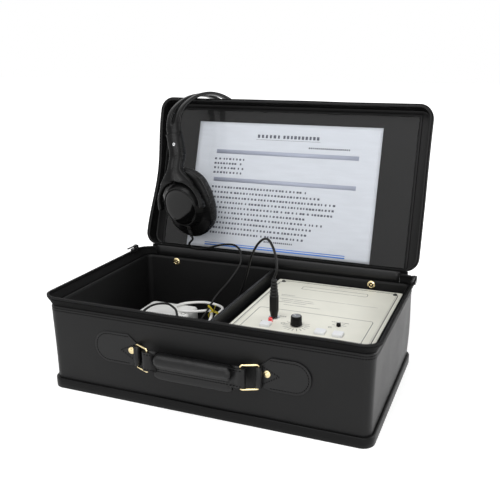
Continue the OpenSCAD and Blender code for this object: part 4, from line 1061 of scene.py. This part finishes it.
# %% Brass rings
RING_W, RING_H = 21, 30.4
ring_loop = rounded_loop(RING_W, RING_H, 2.6, steps=(8, 12), corner=6)
for side, name in ((-1, "left"), (1, "right")):
    line = [Vector((p.x - side * RING_W / 2 * MM, 0, p.y)) for p in ring_loop]
    place = at(side * RING_X, RING_Y, RING_Z, ("Z", side * RING_REST))
    ring = tube("brass_ring_" + name, line, 1.3, gilt, 14, True, place)
    finished(ring, "ring_" + name, "gilt_metal", "handle_ring_" + name)
print("two rings")

# %% Rolled grip
BAR_X, BAR_Y, GRIP_BACK = 60.816, -135.541, 7.3
GRIP = at(0, BAR_Y, RING_Z)
FLAP_LEFT = [(-2.3, -7), (-2, -11), (-2, -16), (-1.9, -20), (-1.2, -21)]


def grip_outline(size):
    """The roll's section at one place along the grip: a circle that runs out into a flat flap."""
    return arc(0, 3.5, 8.5 * size, -52, 232, 26) + mirrored([(-2.9 - 1.6 * size, -4.6)] + FLAP_LEFT)


def creased(p):
    """Creases that run round the roll and a soft dent here and there."""
    fold = noise.noise(Vector((p.x * 130, p.y * 25, p.z * 25)))
    dent = noise.noise(Vector((p.x * 30, p.y * 30, p.z * 30 + 4)))
    away = Vector((0, p.y - BAR_Y * MM, p.z - (RING_Z + 3.5) * MM))
    p = p + away.normalized() * (0.32 * fold + 0.35 * dent) * MM
    p.y = min(p.y, (BAR_Y + GRIP_BACK) * MM)
    return p


grip_rows = []
for x in (-50.5 + 101 * k / 60 for k in range(61)):
    near_end = max(0, (abs(x) - 44.5) / 6)
    grip_rows.append([creased(mm(x, BAR_Y + y, RING_Z + z * (1 if z > -5 else 1 - 0.12 * near_end)))
                      for y, z in grip_outline(1 - 0.42 * near_end ** 2)])
grip_parts = [lofted("roll", grip_rows, strap_leather)]
half, front, bar = 11.9, 4.2, BAR_X + 1.6
outer = [(47, -front)] + arc(bar, 0, 4.6, -90, 90, 12, front) + [(47, front)]
inner = [(54.5, -2.3)] + arc(bar, 0, 2.7, -90, 90, 12, 2.3) + [(54.5, 2.3)]
strap = ((outer, -half), (outer, 0.4 - half), (outer, half - 0.4), (outer, half), (inner, half),
         (inner, -half))
grip_lines = [path([mm(x, y, z) for x in range(-48, 49, 4)], FORWARD * -math.copysign(1, y), GRIP)
              for y in (-2.1, 2.1) for z in (-7.6, -10.6)]
for side in (-1, 1):
    rows = [[mm(side * x, y, z) for x, y in line] for line, z in strap]
    grip_parts.append(lofted("loop", rows, strap_leather, around=False, ring=True, place=GRIP))
    grip_lines += [path([mm(side * x, -4.25, z) for x in (50, 62)], FORWARD, GRIP) for z in (-9.6, 9.6)]
grip_parts.append(stitches("grip_stitches", grip_lines, (2.5, 1.1, 0.4), 3.4))
finished(joined("leather_grip", grip_parts), "grip", "handle_leather", "handle_grip")
print("grip in", len(grip_rows), "rows")

# %% [markdown]
# ## The lid
# The lid is a shallow tray of covered board, and its soft left wall caves in a little. It is skinned
# in its own frame, as the case is, and then turned into place. Its edge carries the other half of the
# zip. In it a bound pocket of clear vinyl holds the instruction sheet.

# %% Lid tray, tape and teeth
LID_W, LID_V0, LID_R = 431.4, 2.2, 20
THIN_FOOT = 2.4


def lid_loop(inset, depth, foot=None):
    """The lid's outline, set in by inset all round, or by foot along its hinge side."""
    low, high = LID_V0 + (inset if foot is None else foot), LID_H - inset
    return rounded_loop(LID_W - 2 * inset, high - low, LID_R - min(inset, 18), depth, (low + high) / 2)


def caved(p):
    """The tray's soft walls: the left one caves in, and all of them wave a little at the free rim."""
    v = p.y / MM
    inwards = mm(6.5 * math.sin(math.pi * clamped((v - 25) / 190)) ** 2 if p.x < -0.19 else 0, 0, 0)
    wave = Vector((noise.noise(p * 11), noise.noise(p * 11 + Vector((7, 0, 0))), 0)) * 1.1 * MM
    return p + (inwards + wave) * max(0, 1 - p.z / MM / 26) * clamped((v - 4) / 20)


def lid_part(name, rows, paint, **how):
    return lofted(name, rows, paint, place=FROM_FLAT, **how)


def on_lid(points, ups):
    return path([caved(p) for p in points], ups, FROM_FLAT, True)


outside = [(16, 25), (6, 25), (3.2, 24.8), (2, 24), (1.7, 22.5), (1.7, 19), (1.7, 15.5), (1.7, 12),
           (1.7, 8), (1.7, 4), (1.9, 1), (2.4, 0.6)]
hollow = [(5, 0.6), (5.2, 1), (5.2, 6), (5.2, 12), (5.2, 17), (5.3, 21), (5.9, 21.9), (8, 22), (17, 22)]
tray_rows = [lid_loop(i, d) for i, d in outside] + [lid_loop(i, d, i - THIN_FOOT) for i, d in hollow]
lid_tray = lid_part("lid_tray", tray_rows, lid_vinyl, change=caved)
finished(lid_tray, "lid", "leatherette", "lid_walls", "lid_board")
tape = [(0.2, 12), (0.1, 8), (0, 4), (0.2, 1), (0.6, 0.6), (1.6, 0.6), (1.6, 4), (1.6, 8), (1.6, 12)]
lid_tape = lid_part("lid_tape", [lid_loop(i, d) for i, d in tape], tape_cloth, ring=True, change=caved)
finished(lid_tape, "lid", "zip_tape", "lid_zip_tape")
flap = [(v, d) for d, v in arc(0, 0, 2.8, -40, 90, 13) + arc(0, 0, 2.2, 90, -40, 13)]
finished(lid_part("hinge_flap", drawn_along(flap, 203, 24), tape_cloth), "lid", "zip_tape")
tooth = unit(1.1, 2.6, -0.9, 0.8, tooth_nylon, 0.3)
lid_teeth = repeated("lid_teeth", [on_lid(lid_loop(1.5, 1.4), DOWN)], tooth, TOOTH_PITCH, tooth_nylon)
finished(lid_teeth, "lid", "zip_teeth")
lid_lines = [on_lid(line, outs_of(line)) for line in (lid_loop(1.65, depth) for depth in (13.6, 16.2))]
finished(stitches("lid_stitches", lid_lines, (2.6, 0.8, 0.35), 3.5, 0.12), "lid", "leatherette")
print("lid tray:", len(lid_tray.data.polygons), "faces")

# %% Pocket: binding, film and seam
POCKET_V0, POCKET_V1, POCKET_W = 5.4, 229.7, 397
FOOT_SHARE = 0.35


def pocket_loop(inset, depth):
    """The binding is narrower along the hinge side, so that the sheet shows down to its foot."""
    low, high = POCKET_V0 + inset * FOOT_SHARE, POCKET_V1 - inset
    return rounded_loop(POCKET_W - 2 * inset, high - low, max(0.4, 2 - inset), depth, (low + high) / 2,
                        corner=4)


def rippled(p):
    slow, fast = Vector((p.x * 14, p.y * 9, 1)), Vector((p.x * 40, p.y * 22, 5))
    return p + UP * 0.16 * MM * (noise.noise(slow) + 0.5 * noise.noise(fast))


edge_profile = [(0, 21.9), (0, 20.7), (0.4, 20.3), (1.2, 20.2), (2.6, 20.1), (4.1, 20.25), (4.5, 20.6),
                (4.5, 20.8), (1.2, 20.8), (1, 21.9)]
binding = lid_part("pocket_edge", [pocket_loop(i, d) for i, d in edge_profile], lid_vinyl, ring=True)
seam = stitches("seam", [path(pocket_loop(3, 20.15), DOWN, FROM_FLAT, True)], (2.2, 0.6, 0.3), 3)
finished(joined("pocket_edge_sewn", [binding, seam]), "lid", "binding_vinyl", "pocket_binding")
FILM_W, FILM_V0, FILM_H, FILM_DEPTH = 394.8, 6.4, 222.2, 20.98
film_rows = [[mm(FILM_W * (i / 80 - 0.5), FILM_V0 + FILM_H * j / 50, FILM_DEPTH) for i in range(81)]
             for j in range(51)]
film = lid_part("clear_film", film_rows, clear_vinyl, around=False, change=rippled)
finished(film, "lid", "clear_vinyl", "pocket_window")
print("pocket film:", len(film.data.polygons), "faces")

# %% [markdown]
# ### Instruction sheet
# One landscape sheet, printed with a title, two grey bars, rows of text and a blue double line. The
# words aren't copied: each row is a line of dashes of uneven length, set by the repeating tree.

# %% Sheet and its print
SHEET_X, SHEET_V0, SHEET_W, SHEET_H = -4.9, 6, 297, 201
TEXT_LEFT, TEXT_DEPTH = -119, 21.48
chance = random.Random(4)
sheet_rows = [[mm(SHEET_X + SHEET_W * (i / 40 - 0.5), SHEET_V0 + SHEET_H * j / 30, d) for i in range(41)]
              for d, js in ((21.5, range(31)), (21.75, range(30, -1, -1))) for j in js]
sheet = lid_part("printed_sheet", sheet_rows, paper, around=False, ring=True)
finished(sheet, "lid", "sheet_paper", "instruction_sheet")


def text_row(u0, u1, v):
    return path([mm(u, v, TEXT_DEPTH) for u in (u0, u1)], DOWN, FROM_FLAT)


def in_words(u0, u1, v):
    """The same row cut into words of uneven length, with a space after each."""
    while u0 < u1 - 6:
        end = min(u1, u0 + chance.uniform(9, 34))
        yield u0, end, v
        u0 = end + 4.5


def dashes(name, rows, length, height, pitch, uneven):
    dash = unit(length, height, -0.02, 0.02, ink)
    return repeated(name, [text_row(*row) for row in rows], dash, pitch, ink, uneven)


rows = [(TEXT_LEFT, TEXT_LEFT + chance.uniform(40, 72), v) for v in (148.5, 141.2, 134, 126.8)]
rows += [(TEXT_LEFT, TEXT_LEFT + chance.uniform(150, 214), 103.5 - 8 * k) for k in range(10)]
parts = [
    dashes("title", [(-50, -17, 187), (-8, 46, 187)], 3.6, 5, 5.6, 0.15),
    dashes("small_line", [(34, 96, 172), (-22, 22, 24)], 2, 2.4, 3.1, 0.2),
    dashes("text", [word for row in rows for word in in_words(*row)], 2.9, 3.1, 4.9, 0.3),
]
for u0, u1, v, h, paint in (
        (TEXT_LEFT, 112, 157, 6.4, ink_bar), (TEXT_LEFT, 112, 112.5, 6.4, ink_bar),
        (-122, 106, 10.6, 2, ink_blue), (-122, 106, 14.2, 1.2, ink_blue), (-54, 50, 181.5, 0.4, ink)):
    parts.append(moved(block("bar", (u0, v, 21.46), (u1, v + h, 21.49), paint), FROM_FLAT))
finished(joined("sheet_print", parts), "lid", "sheet_paper")
print("print on the sheet: rows", len(rows))

# %% [markdown]
# ## The tone generator
# A cream panel with printed lines, three white keys, a red lamp, a fluted knob and a small selector.
# The panel itself comes from the CAD model, because its holes are right; it gets its paint and print.

# %% Print on the panel
PRINT_Z = 101.52
KNOB_X, KNOB_Y, SELECTOR_X, SELECTOR_Y = 97.85, -47.5, 146.85, -31


def printed(points, width, closed=False):
    """A printed line through points, as one thin box to each stretch."""
    verts, faces = [], []
    for (x0, y0), (x1, y1) in zip(points, points[1:] + points[:1] if closed else points[1:]):
        a, b = mm(x0, y0, PRINT_Z), mm(x1, y1, PRINT_Z)
        along = (b - a).normalized() * width / 2 * MM
        side = Vector((-along.y, along.x, 0))
        start = len(verts)
        verts += [p + UP * z * MM for z in (-0.04, 0.02)
                  for p in (a - along - side, b + along - side, b + along + side, a - along + side)]
        faces += [tuple(start + i for i in face) for face in (
            (0, 1, 2, 3), (4, 5, 6, 7), (0, 1, 5, 4), (1, 2, 6, 5), (2, 3, 7, 6), (3, 0, 4, 7))]
    return piece("printed", verts, faces, panel_ink, smooth=False)


def frame_points(x0, x1, y0, y1, cut):
    """A rectangle whose corners are cut off and bulge a little."""
    points = []
    corners = ((x1, y1, -1, -1), (x1, y0, -1, 1), (x0, y0, 1, 1), (x0, y1, 1, -1))
    for i, (x, y, sx, sy) in enumerate(corners):
        corner = [(x + sx * cut, y), (x + sx * cut * 0.3, y + sy * cut * 0.3), (x, y + sy * cut)]
        points += corner[::-1] if i % 2 else corner
    return points


def ring_mark(x, y, r):
    return printed(arc(x, y, r, 0, 360, 24)[:-1], 0.5, True)


def ticks(name, x, y, r, start, stop, count, length):
    points = [mm(px, py, PRINT_Z) for px, py in arc(x, y, r, start, stop, (count - 1) * 4)]
    pitch = run_length(points) / MM / (count - 1) * 0.999
    return repeated(name, [path(points, UP)], unit(0.64, length, -0.02, 0.02, panel_ink), pitch, panel_ink)


print_parts = [
    printed(frame_points(23.6, 195.1, -107.2, 107.2, 9), 1.1, True),
    printed(frame_points(25.6, 193.1, -105.2, 105.2, 8.4), 0.25, True),
    printed(frame_points(33, 184, -99, -3, 3.5), 0.7, True),
    printed(frame_points(62, 156, 81, 92, 2.5), 0.6, True),
    printed([(45, 46), (178, 46)], 0.4),
    ring_mark(80, -46, 2.2),
    ring_mark(137.5, -37.5, 1.9),
    ticks("dial_ticks", KNOB_X, KNOB_Y, 13.6, 30, -210, 13, 6.4),
    ticks("selector_ticks", SELECTOR_X, SELECTOR_Y, 7.6, 160, 20, 5, 4),
]
words = [(45, 62, 50.5), (47, 92, 36), (52, 96, 30), (47, 86, 24), (60, 108, 15.5), (136, 160, -19.5),
         (69, 76, -25), (52, 59, -47)]
word_paths = [path([mm(x0, y, PRINT_Z), mm(x1, y, PRINT_Z)], UP)
              for row in words for x0, x1, y in in_words(*row)]
dash = unit(1.4, 1.4, -0.02, 0.02, panel_ink)
print_parts.append(repeated("panel_words", word_paths, dash, 2.3, panel_ink, 0.3))
finished(joined("panel_print", print_parts), "case", "panel_cream")
print("printed parts:", len(print_parts))

# %% Keys
key_outline = rounded_loop(12.5, 12.5, 1.2, steps=(4, 4), corner=4)
key_levels = ((1, 95.6), (1, 103.9), (0.985, 104.4), (0.94, 104.8), (0.88, 104.9), (0.6, 104.75),
              (0.3, 104.7))
for name, x, y in (("left", 61.85, -58.5), ("middle", 131.35, -58), ("right", 153.35, -58)):
    rows = [[p * s + mm(x, y, z) for p in key_outline] for s, z in key_levels]
    finished(lofted("key_" + name, rows, key_white), name + "_button", "button_white", "button_" + name)
print("three keys")


# %% Knob, cap, selector and lamp
def fluted(v, angle):
    fade = min((v.z / MM - 104.2) / 1.2, 113.6 - v.z / MM) if math.hypot(v.x, v.y) > 6 * MM else 0
    return grooved(v, angle, 30, 0.045, fade, 2)


VOLUME = at(KNOB_X, KNOB_Y, 0)
knob = [(0, 92), (2.9, 92), (2.9, 102.4), (7, 102.7), (7.4, 103.1), (7.3, 104), (7.05, 104.4),
        (6.75, 113.2), (6.5, 114.2), (6, 114.7), (5.75, 114.6), (5.65, 113.5), (0, 113.5)]
knob_body = turned("fluted_knob", finer(knob, 1.2), satin_black, 120, VOLUME, fluted)
finished(knob_body, "volume", "knob_black", "volume_knob")
cap = [(0, 113.5), (5.5, 113.5), (5.5, 114.5), (5.2, 114.75), (4.2, 114.7), (0, 114.55)]
line = block("line", (-0.35, 1.2, 114.5), (0.35, 5.3, 114.85), key_white, 0.1)
pointer = moved(joined("grey_cap", [turned("disc", cap, cap_grey), line]), at(KNOB_X, KNOB_Y, 0, ("Z", 60)))
finished(pointer, "volume", "knob_cap_grey", "knob_cap")
peg = [(0, 92.6), (1.4, 92.6), (1.4, 101.7), (2.6, 101.8), (3, 102.2), (2.8, 103.4), (2.5, 105.2),
       (2.1, 105.7), (0, 105.8)]
nib = block("nib", (-0.4, 0.2, 105.6), (0.4, 2.4, 106.2), key_white, 0.15)
stem = turned("peg", peg, satin_black, 36)
selector = moved(joined("selector_peg", [stem, nib]), at(SELECTOR_X, SELECTOR_Y, 0))
finished(selector, "frequency", "knob_black", "frequency_knob")
bulb = [(0, 93), (3, 93), (3, 98.9), (2.5, 99), (2.5, 101.6), (3.1, 101.7), (3.1, 102.3), (2.7, 102.5)]
bulb += arc(0, 104.9, 2.7, 0, 90, 8, 2.5)[:-1] + [(0, 107.4)]
lamp_dome = turned("lamp_dome", bulb, lamp_red, 40, at(63.35, -46, 0))
finished(lamp_dome, "case", "lamp_red", "indicator_lamp")
print("controls made")

# %% [markdown]
# ## The headset
# The band is two rails that part above the ears and meet at its ends. Each end slides in an arm, and
# each arm widens into the two legs of a yoke that holds the ear cup. The front half is drawn upright
# at the headset's crown, and the rear half is its mirror image.

# %% Headband: two rails with a slot between them
CROWN_R, SHOULDER_R, BAND_T = 120, 46, 5
SHOULDER = mm(0, 37, -55.914)
ARM_TOP = -56.615


def band_stations():
    """Middle line of the band from the front leg over the crown to the rear leg: point and outward."""
    leg = 37 + SHOULDER_R - BAND_T / 2
    stations = [(mm(0, leg, ARM_TOP - 27.8 + k * 5.4), Vector((0, 1, 0))) for k in range(6)]
    turns = [(SHOULDER, SHOULDER_R, 60 * k / 16) for k in range(17)]
    turns += [(mm(0, 0, -CROWN_R), CROWN_R, 60 + 30 * k / 12) for k in range(1, 13)]
    for centre, r, degrees in turns:
        out = Vector((0, math.cos(math.radians(degrees)), math.sin(math.radians(degrees))))
        stations.append((centre + out * (r - BAND_T / 2) * MM, out))
    return [(MIRROR @ p, MIRROR @ out) for p, out in stations[:-1]] + stations[::-1]


def rail(side):
    """One rail. It is wide over the head, and its inner edge closes on the other rail at the ends."""
    rows = []
    half = BAND_T / 2
    for middle, out in band_stations():
        z = middle.z / MM
        wide, parted = 13.4 if z > -56.5 else 10.9, clamped((z + 44) / 7)
        inner = 4.6 * math.sqrt(parted * (2 - parted)) if parted else -0.05
        r = 1.5 if parted else 0.02
        section = []
        for x, o, bx, bo in ((inner, half, r, 1.2), (wide, half, 2.2, 1.8), (wide, -half, 1.6, 1.2),
                             (inner, -half, r, 0.8)):
            sx, so = (1 if x == inner else -1), (-1 if o > 0 else 1)
            corner = [(x, o + so * bo), (x + sx * bx * 0.3, o + so * bo * 0.3), (x + sx * bx, o)]
            section += corner if (x == inner) == (o > 0) else corner[::-1]
        rows.append([middle + mm(side * x, 0, 0) + out * o * MM for x, o in section])
    return lofted("rail", rows, satin_black)


band_rails = moved(joined("band_rails", [rail(-1), rail(1)]), HUNG)
finished(band_rails, "headset", "headset_plastic", "headband")
print("headband:", len(band_rails.data.polygons), "faces")

# %% Slider arms with their yokes
YOKE_R, GAP_R = 44.3, 38.2


def ramp(z, z0, v0, z1, v1):
    return v0 + (v1 - v0) * eased((z - z0) / (z1 - z0))


def arm_section(h):
    """The half section of an arm at h below its top: it widens, bends inwards and parts into a yoke."""
    z = ARM_TOP - h
    d = z - PIVOT_Z
    lip = 0.35 if h < 3.3 else 0
    outer = 13.2 + lip
    if 30 < d < 60:
        outer = max(outer, ramp(d, 60, 13.2, 30, math.sqrt(YOKE_R ** 2 - 30 ** 2)))
    elif d <= 30:
        outer = max(outer, math.sqrt(YOKE_R ** 2 - max(d, 0) ** 2))
    inner = math.sqrt(GAP_R ** 2 - max(d, 0) ** 2) if d < GAP_R else -0.02
    tip = max(0, -d / 5.2)
    squeeze = 1 - math.sqrt(max(0, 1 - tip * tip))
    half_x = (outer - inner) / 2 * (1 - squeeze * 0.92)
    x0, x1 = (inner + outer) / 2 - half_x, (inner + outer) / 2 + half_x
    y0 = ramp(z, -82, -85.6 - lip, -118, -98.1) + ramp(d, 34, 0, 4, 0.9)
    y1 = ramp(z, -84, -75.4 + lip * 0.2, -121, -91.3)
    if d < 12:
        y1 = ramp(d, 12, y1, 4, -87.2)
    r_in, r_out = min(0.02 if inner < 0 else 2.2, half_x * 0.9), min(2.6, half_x * 0.9)
    deep = min(2.6, (y1 - y0) * 0.42)
    right, left, shallow = x1 - r_out, x0 + r_in, 1.2
    corners = ((right, y1 - shallow, r_out, shallow), (left, y1 - shallow, r_in, shallow),
               (left, y0 + deep, r_in, deep), (right, y0 + deep, r_out, deep))
    return [(x, y, z) for i, (cx, cy, r, ry) in enumerate(corners)
            for x, y in arc(cx, cy, r, 90 * i, 90 * i + 90, 3, ry)]


def arm_parts():
    heights = [0, 0.4, 3, 3.6] + [8 + 4 * k for k in range(13)] + [58 + 1.6 * k for k in range(8)]
    heights += [71 + 2 * k for k in range(20)] + [110.5, 111.7, 112.6]
    sections = [arm_section(h) for h in heights]
    halves = []
    for side in (-1, 1):
        rows = [[mm(side * x, y, z) for x, y, z in section] for section in sections]
        halves.append(lofted("arm", rows, satin_black))
    screw = [(0, 0.5), (2, 0.5), (2.5, 0.3), (2.6, 0), (2.6, -0.6), (0, -0.6)]
    disc = turned("disc", screw, bare_metal, 32, at(0, -85.5, ARM_TOP - 16, ("X", 90)))
    # The screw's slot is a thin black bar on the bare disc: painted shade of the slot.
    groove = block("groove", (-1.7, -86.12, ARM_TOP - 16.3), (1.7, -85.8, ARM_TOP - 15.7), chip_black)
    pins = [turned("pin", [(0, 0), (2.4, 0), (2.4, 8.6), (0, 8.6)], satin_black, 20,
                   at(s * 30, PIVOT_Y, PIVOT_Z, ("Y", s * 90))) for s in (-1, 1)]
    return halves + [disc, groove] + pins


for name, place in HALVES.items():
    arm = moved(joined("arm_and_yoke_" + name, arm_parts()), place)
    finished(arm, "arm_" + name, "headset_plastic", "slider_arm_" + name)
print("two arms:", len(arm.data.polygons), "faces each")

# %% [markdown]
# ### Ear cups
# The shell is turned about the cup's axis, and towards its rim the circle is drawn out to an oval. The
# outer plate is glossy, a fine groove parts it from the satin bowl, and a paler line runs between the
# rim and the cushion.

# %% Ear cup shells
OVAL = 10
plate_face = [(0, -6.6), (10, -6.55), (20, -6.35), (25.5, -6.05), (27.6, -5.6), (28.1, -5.1),
              (28.1, -3), (0, -3)]
bowl = [(28.3, -3.4), (28.4, -5.3), (28.9, -5.8), (29.5, -5.85), (30.2, -5.4), (31.6, -2.9),
        (33.3, 0.2), (34.6, 2.6), (35.6, 4.4), (36.6, 5.3), (38.4, 6.4), (40.8, 7.8), (42.6, 8.9),
        (43.6, 9.8), (44, 10.8), (44, 11.6), (43.3, 11.9), (43.3, 12.4), (44, 12.7), (44, 14.2),
        (43.6, 14.8), (41.6, 14.9), (41.5, 12.6), (38, 9.4), (33, 3.6), (29, -2), (28.3, -3.4)]
rim = [(41.8, 14.7), (44.1, 14.7), (44.35, 15), (44.1, 15.4), (41.8, 15.4), (41.8, 14.7)]
relief = [(0, 0), (2.9, 0), (3.2, 0.5), (3.3, 6)]
relief += ribs(4, 3, (3.1, -0.15, 7), (3.1, -0.15, 8.6), (2.5, 0, 8.9), (2.5, 0, 9.7))
relief += [(2.2, 20), (0, 20)]


def drawn_out(v, angle=0, low=4.5, high=10):
    """Turns the round shell into an oval towards its rim: v has the cup's depth as its height."""
    r = math.hypot(v.x, v.y)
    lean = max(-1, min(v.y / (0.55 * r), 1)) if r > 1e-6 else 0
    return v + mm(0, OVAL * eased((v.z / MM - low) / (high - low)) * lean, 0)


for name, place in HALVES.items():
    cup_parts = [turned("plate", plate_face, gloss_black, 72, FLAT),
                 turned("bowl", finer(bowl, 2), satin_black, 96, FLAT, drawn_out),
                 turned("line", rim, enamel, 96, FLAT, drawn_out)]
    if name == "front":
        cup_parts.append(turned("sleeve", relief, plug_rubber, 28, at(0, 1, -30, ("X", 180))))
    cup = moved(joined("cup_" + name + "_shell", cup_parts), place @ CUP)
    finished(cup, "cup_" + name, "headset_plastic", "cup_shell_" + name)
print("two ear cups:", len(cup.data.polygons), "faces each")

# %% [markdown]
# ### Ear cushions
# A cushion is foam in thin leatherette: it bulges, and its skin gathers in fine pleats where it is
# sewn to the rim. The form starts as a plain oval ring, cloth with pressure swells it, and the
# pleats and a few creases come after that, because remeshing would wipe them out.

# %% Cushion form, swelling and pleats
cushion_profile = [(20.2, 32), (19.4, 28), (19.3, 22), (20.5, 16.6), (24, 15.4), (40, 15.4),
                   (42.6, 16.6), (43.2, 20), (42.8, 25.5), (40.5, 29.8), (36.5, 31.9), (31, 32.4),
                   (25, 32.4), (20.2, 32)]
SWELL_FRAMES = 20


def swollen(made, most):
    """Puffs a closed form up with cloth pressure, and keeps each point near where it started."""
    remesh = made.modifiers.new("voxels", "REMESH")
    remesh.mode, remesh.voxel_size = "VOXEL", 2.6 * MM
    applied(made)
    rest = [v.co.copy() for v in made.data.vertices]
    cloth = made.modifiers.new("skin", "CLOTH")
    cloth.settings.quality = 5
    cloth.settings.use_pressure, cloth.settings.uniform_pressure_force = True, 4
    cloth.settings.effector_weights.gravity = 0
    cloth.settings.tension_stiffness = cloth.settings.compression_stiffness = 12
    cloth.point_cache.frame_start, cloth.point_cache.frame_end = 1, SWELL_FRAMES
    for frame_number in range(1, SWELL_FRAMES + 1):
        bpy.context.scene.frame_set(frame_number)
    applied(made)
    bpy.context.scene.frame_set(1)
    for v, start in zip(made.data.vertices, rest):
        move = v.co - start
        if move.length > most * MM:
            v.co = start + move * (most * MM / move.length)


def pleated(p):
    """Pleats on the outer side near the rim, and soft creases over the face."""
    y = p.y - OVAL * MM * max(-1, min(p.y / (24 * MM), 1))
    angle, r, depth = math.atan2(y, p.x), math.hypot(p.x, y) / MM, p.z / MM
    near_face = clamped((31 - depth) / 6)
    side = clamped((r - 38) / 4) * near_face * clamped((depth - 15) / 2)
    inner = clamped((24 - r) / 3) * near_face
    shift = noise.noise(Vector((math.cos(angle) * 6, math.sin(angle) * 6, depth * 0.05)))
    fold = 0.5 + 0.5 * math.cos(angle * 62 + 2.2 * shift)
    pull = Vector((p.x, y, 0)).normalized() * MM
    crease = UP * noise.noise(p * 160) * 0.18 * MM
    return p - pull * side * (0.9 * fold ** 1.5 - 0.25) + pull * inner * 0.35 * fold + crease


cushion = turned("cushion", finer(cushion_profile, 2), cushion_leather, 90,
                 change=lambda v, angle: drawn_out(v, angle, -1, 0))
swollen(cushion, 1.6)
smooth_skin = cushion.modifiers.new("smooth", "SUBSURF")
smooth_skin.levels = smooth_skin.render_levels = 1
applied(cushion)
for v in cushion.data.vertices:
    v.co = pleated(v.co)
for face in cushion.data.polygons:
    face.use_smooth = True
cushion.data.materials.clear()
cushion.data.materials.append(cushion_leather)
cushion.data.transform(FLAT)
outward(cushion.data)
for name, place in HALVES.items():
    pad = moved(added("cushion_pad_" + name, cushion.data.copy()), place @ CUP)
    finished(pad, "cup_" + name, "cushion_leather", "ear_cushion_" + name)
print("cushions:", len(cushion.data.polygons), "faces each")
bpy.data.objects.remove(cushion)

# %% [markdown]
# ## The mains adapter
# Its moulded white body is two half shells, so a fine groove runs round it, and its cord leaves through
# a ribbed sleeve. The round prongs point to the front of the case.

# %% Adapter
body = [(7, 0), (2.4, 0.3), (0.8, 1.2), (0.1, 3.2), (0, 6), (0, 27.6), (0.5, 28), (0.5, 28.6), (0, 29),
        (0, 51.5), (0.5, 54), (2, 56), (4.4, 56.9), (8, 57), (20, 57)]
body_rows = [rounded_loop(77 - 2 * i, 78 - 2 * i, max(8 - i, 1.5), z, steps=(20, 20)) for i, z in body]
# The hole on top is a shallow black disc: its black is painted shade inside the hole.
hole = [(0, 56.6), (3.3, 56.6), (3.5, 57.06), (2.9, 57.1), (2.7, 56.8), (0, 56.8)]
prong = [(0, 0), (3.4, 0), (3.4, 0.8), (2.4, 1), (2.4, 18), (1.8, 19), (0, 19.1)]
sleeve = [(0, -1), (4.2, -1), (4.2, 0.8), (3.6, 1.2)]
sleeve += ribs(5, 2.4, (3.6, -0.2, 1.4), (3.6, -0.2, 2.8), (2.7, -0.06, 3), (2.7, -0.06, 3.6))
sleeve += [(2.3, 14), (0, 14)]
adapter_parts = [lofted("body", body_rows, white_plastic)]
adapter_parts.append(turned("hole", hole, chip_black, 28, at(30, 4, 0)))
adapter_parts += [turned("prong", prong, bare_metal, 28, at(x, -39, 20, ("X", 90))) for x in (-9.5, 9.5)]
adapter_parts.append(turned("sleeve", sleeve, white_rubber, 32, at(38.5, -8, 43.7, ("Y", 90))))
adapter = moved(joined("mains_adapter", adapter_parts), at(-126.5, 19, 6.3))
finished(adapter, "case", "adapter_white", "adapter_body")
print("adapter:", len(adapter.data.polygons), "faces")

# %% [markdown]
# ## Finishes of the CAD pieces that stay
# What is rigid and plain, or hidden in the housing, keeps its CAD shape and gets a finish here. The
# replaced nodes get one too, since they stay in the file.

# %% Finishes by node
CARRIED = {
    black_plastic: "housing button_switches headband slider_arm_front slider_arm_rear cup_shell_front "
                   "cup_shell_rear volume_knob frequency_knob",
    leatherette: "case_walls handle_tabs handle_grip lid_board lid_walls",
    band_vinyl: "foot_band pocket_binding hinge_strip divider inner_lining",
    chip_black: "case_floor",
    tape_cloth: "zip_tape_case lid_zip_tape",
    tooth_nylon: "zip_chain_case",
    enamel: "zip_slider_left zip_slider_right zip_pull_left zip_pull_right",
    gilt: "wall_snaps tab_rivets handle_ring_left handle_ring_right board_standoffs",
    clear_vinyl: "pocket_window",
    paper: "instruction_sheet",
    panel_paint: "front_panel",
    steel_screw: "panel_screws",
    board_green: "circuit_board",
    bare_metal: "volume_control frequency_switch phone_jack plug_shaft",
    lamp_red: "indicator_lamp",
    cap_grey: "knob_cap",
    key_white: "button_left button_middle button_right",
    plug_rubber: "plug_handle",
    wrap_blue: "battery",
    speaker_cloth: "cup_driver_front cup_driver_rear",
    cushion_leather: "ear_cushion_front ear_cushion_rear",
    cord_rubber: "headset_cord_upper headset_cord_lower headset_coil headset_cord_plug_end",
    white_plastic: "adapter_body",
    white_rubber: "adapter_cord adapter_coil",
    tie_paper: "cord_tie",
}
undressed = set(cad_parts)
for paint, names in CARRIED.items():
    for name in names.split():
        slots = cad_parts[name].data.materials
        slots.clear()
        slots.append(paint)
        undressed.remove(name)
print("nodes without a finish:", sorted(undressed))
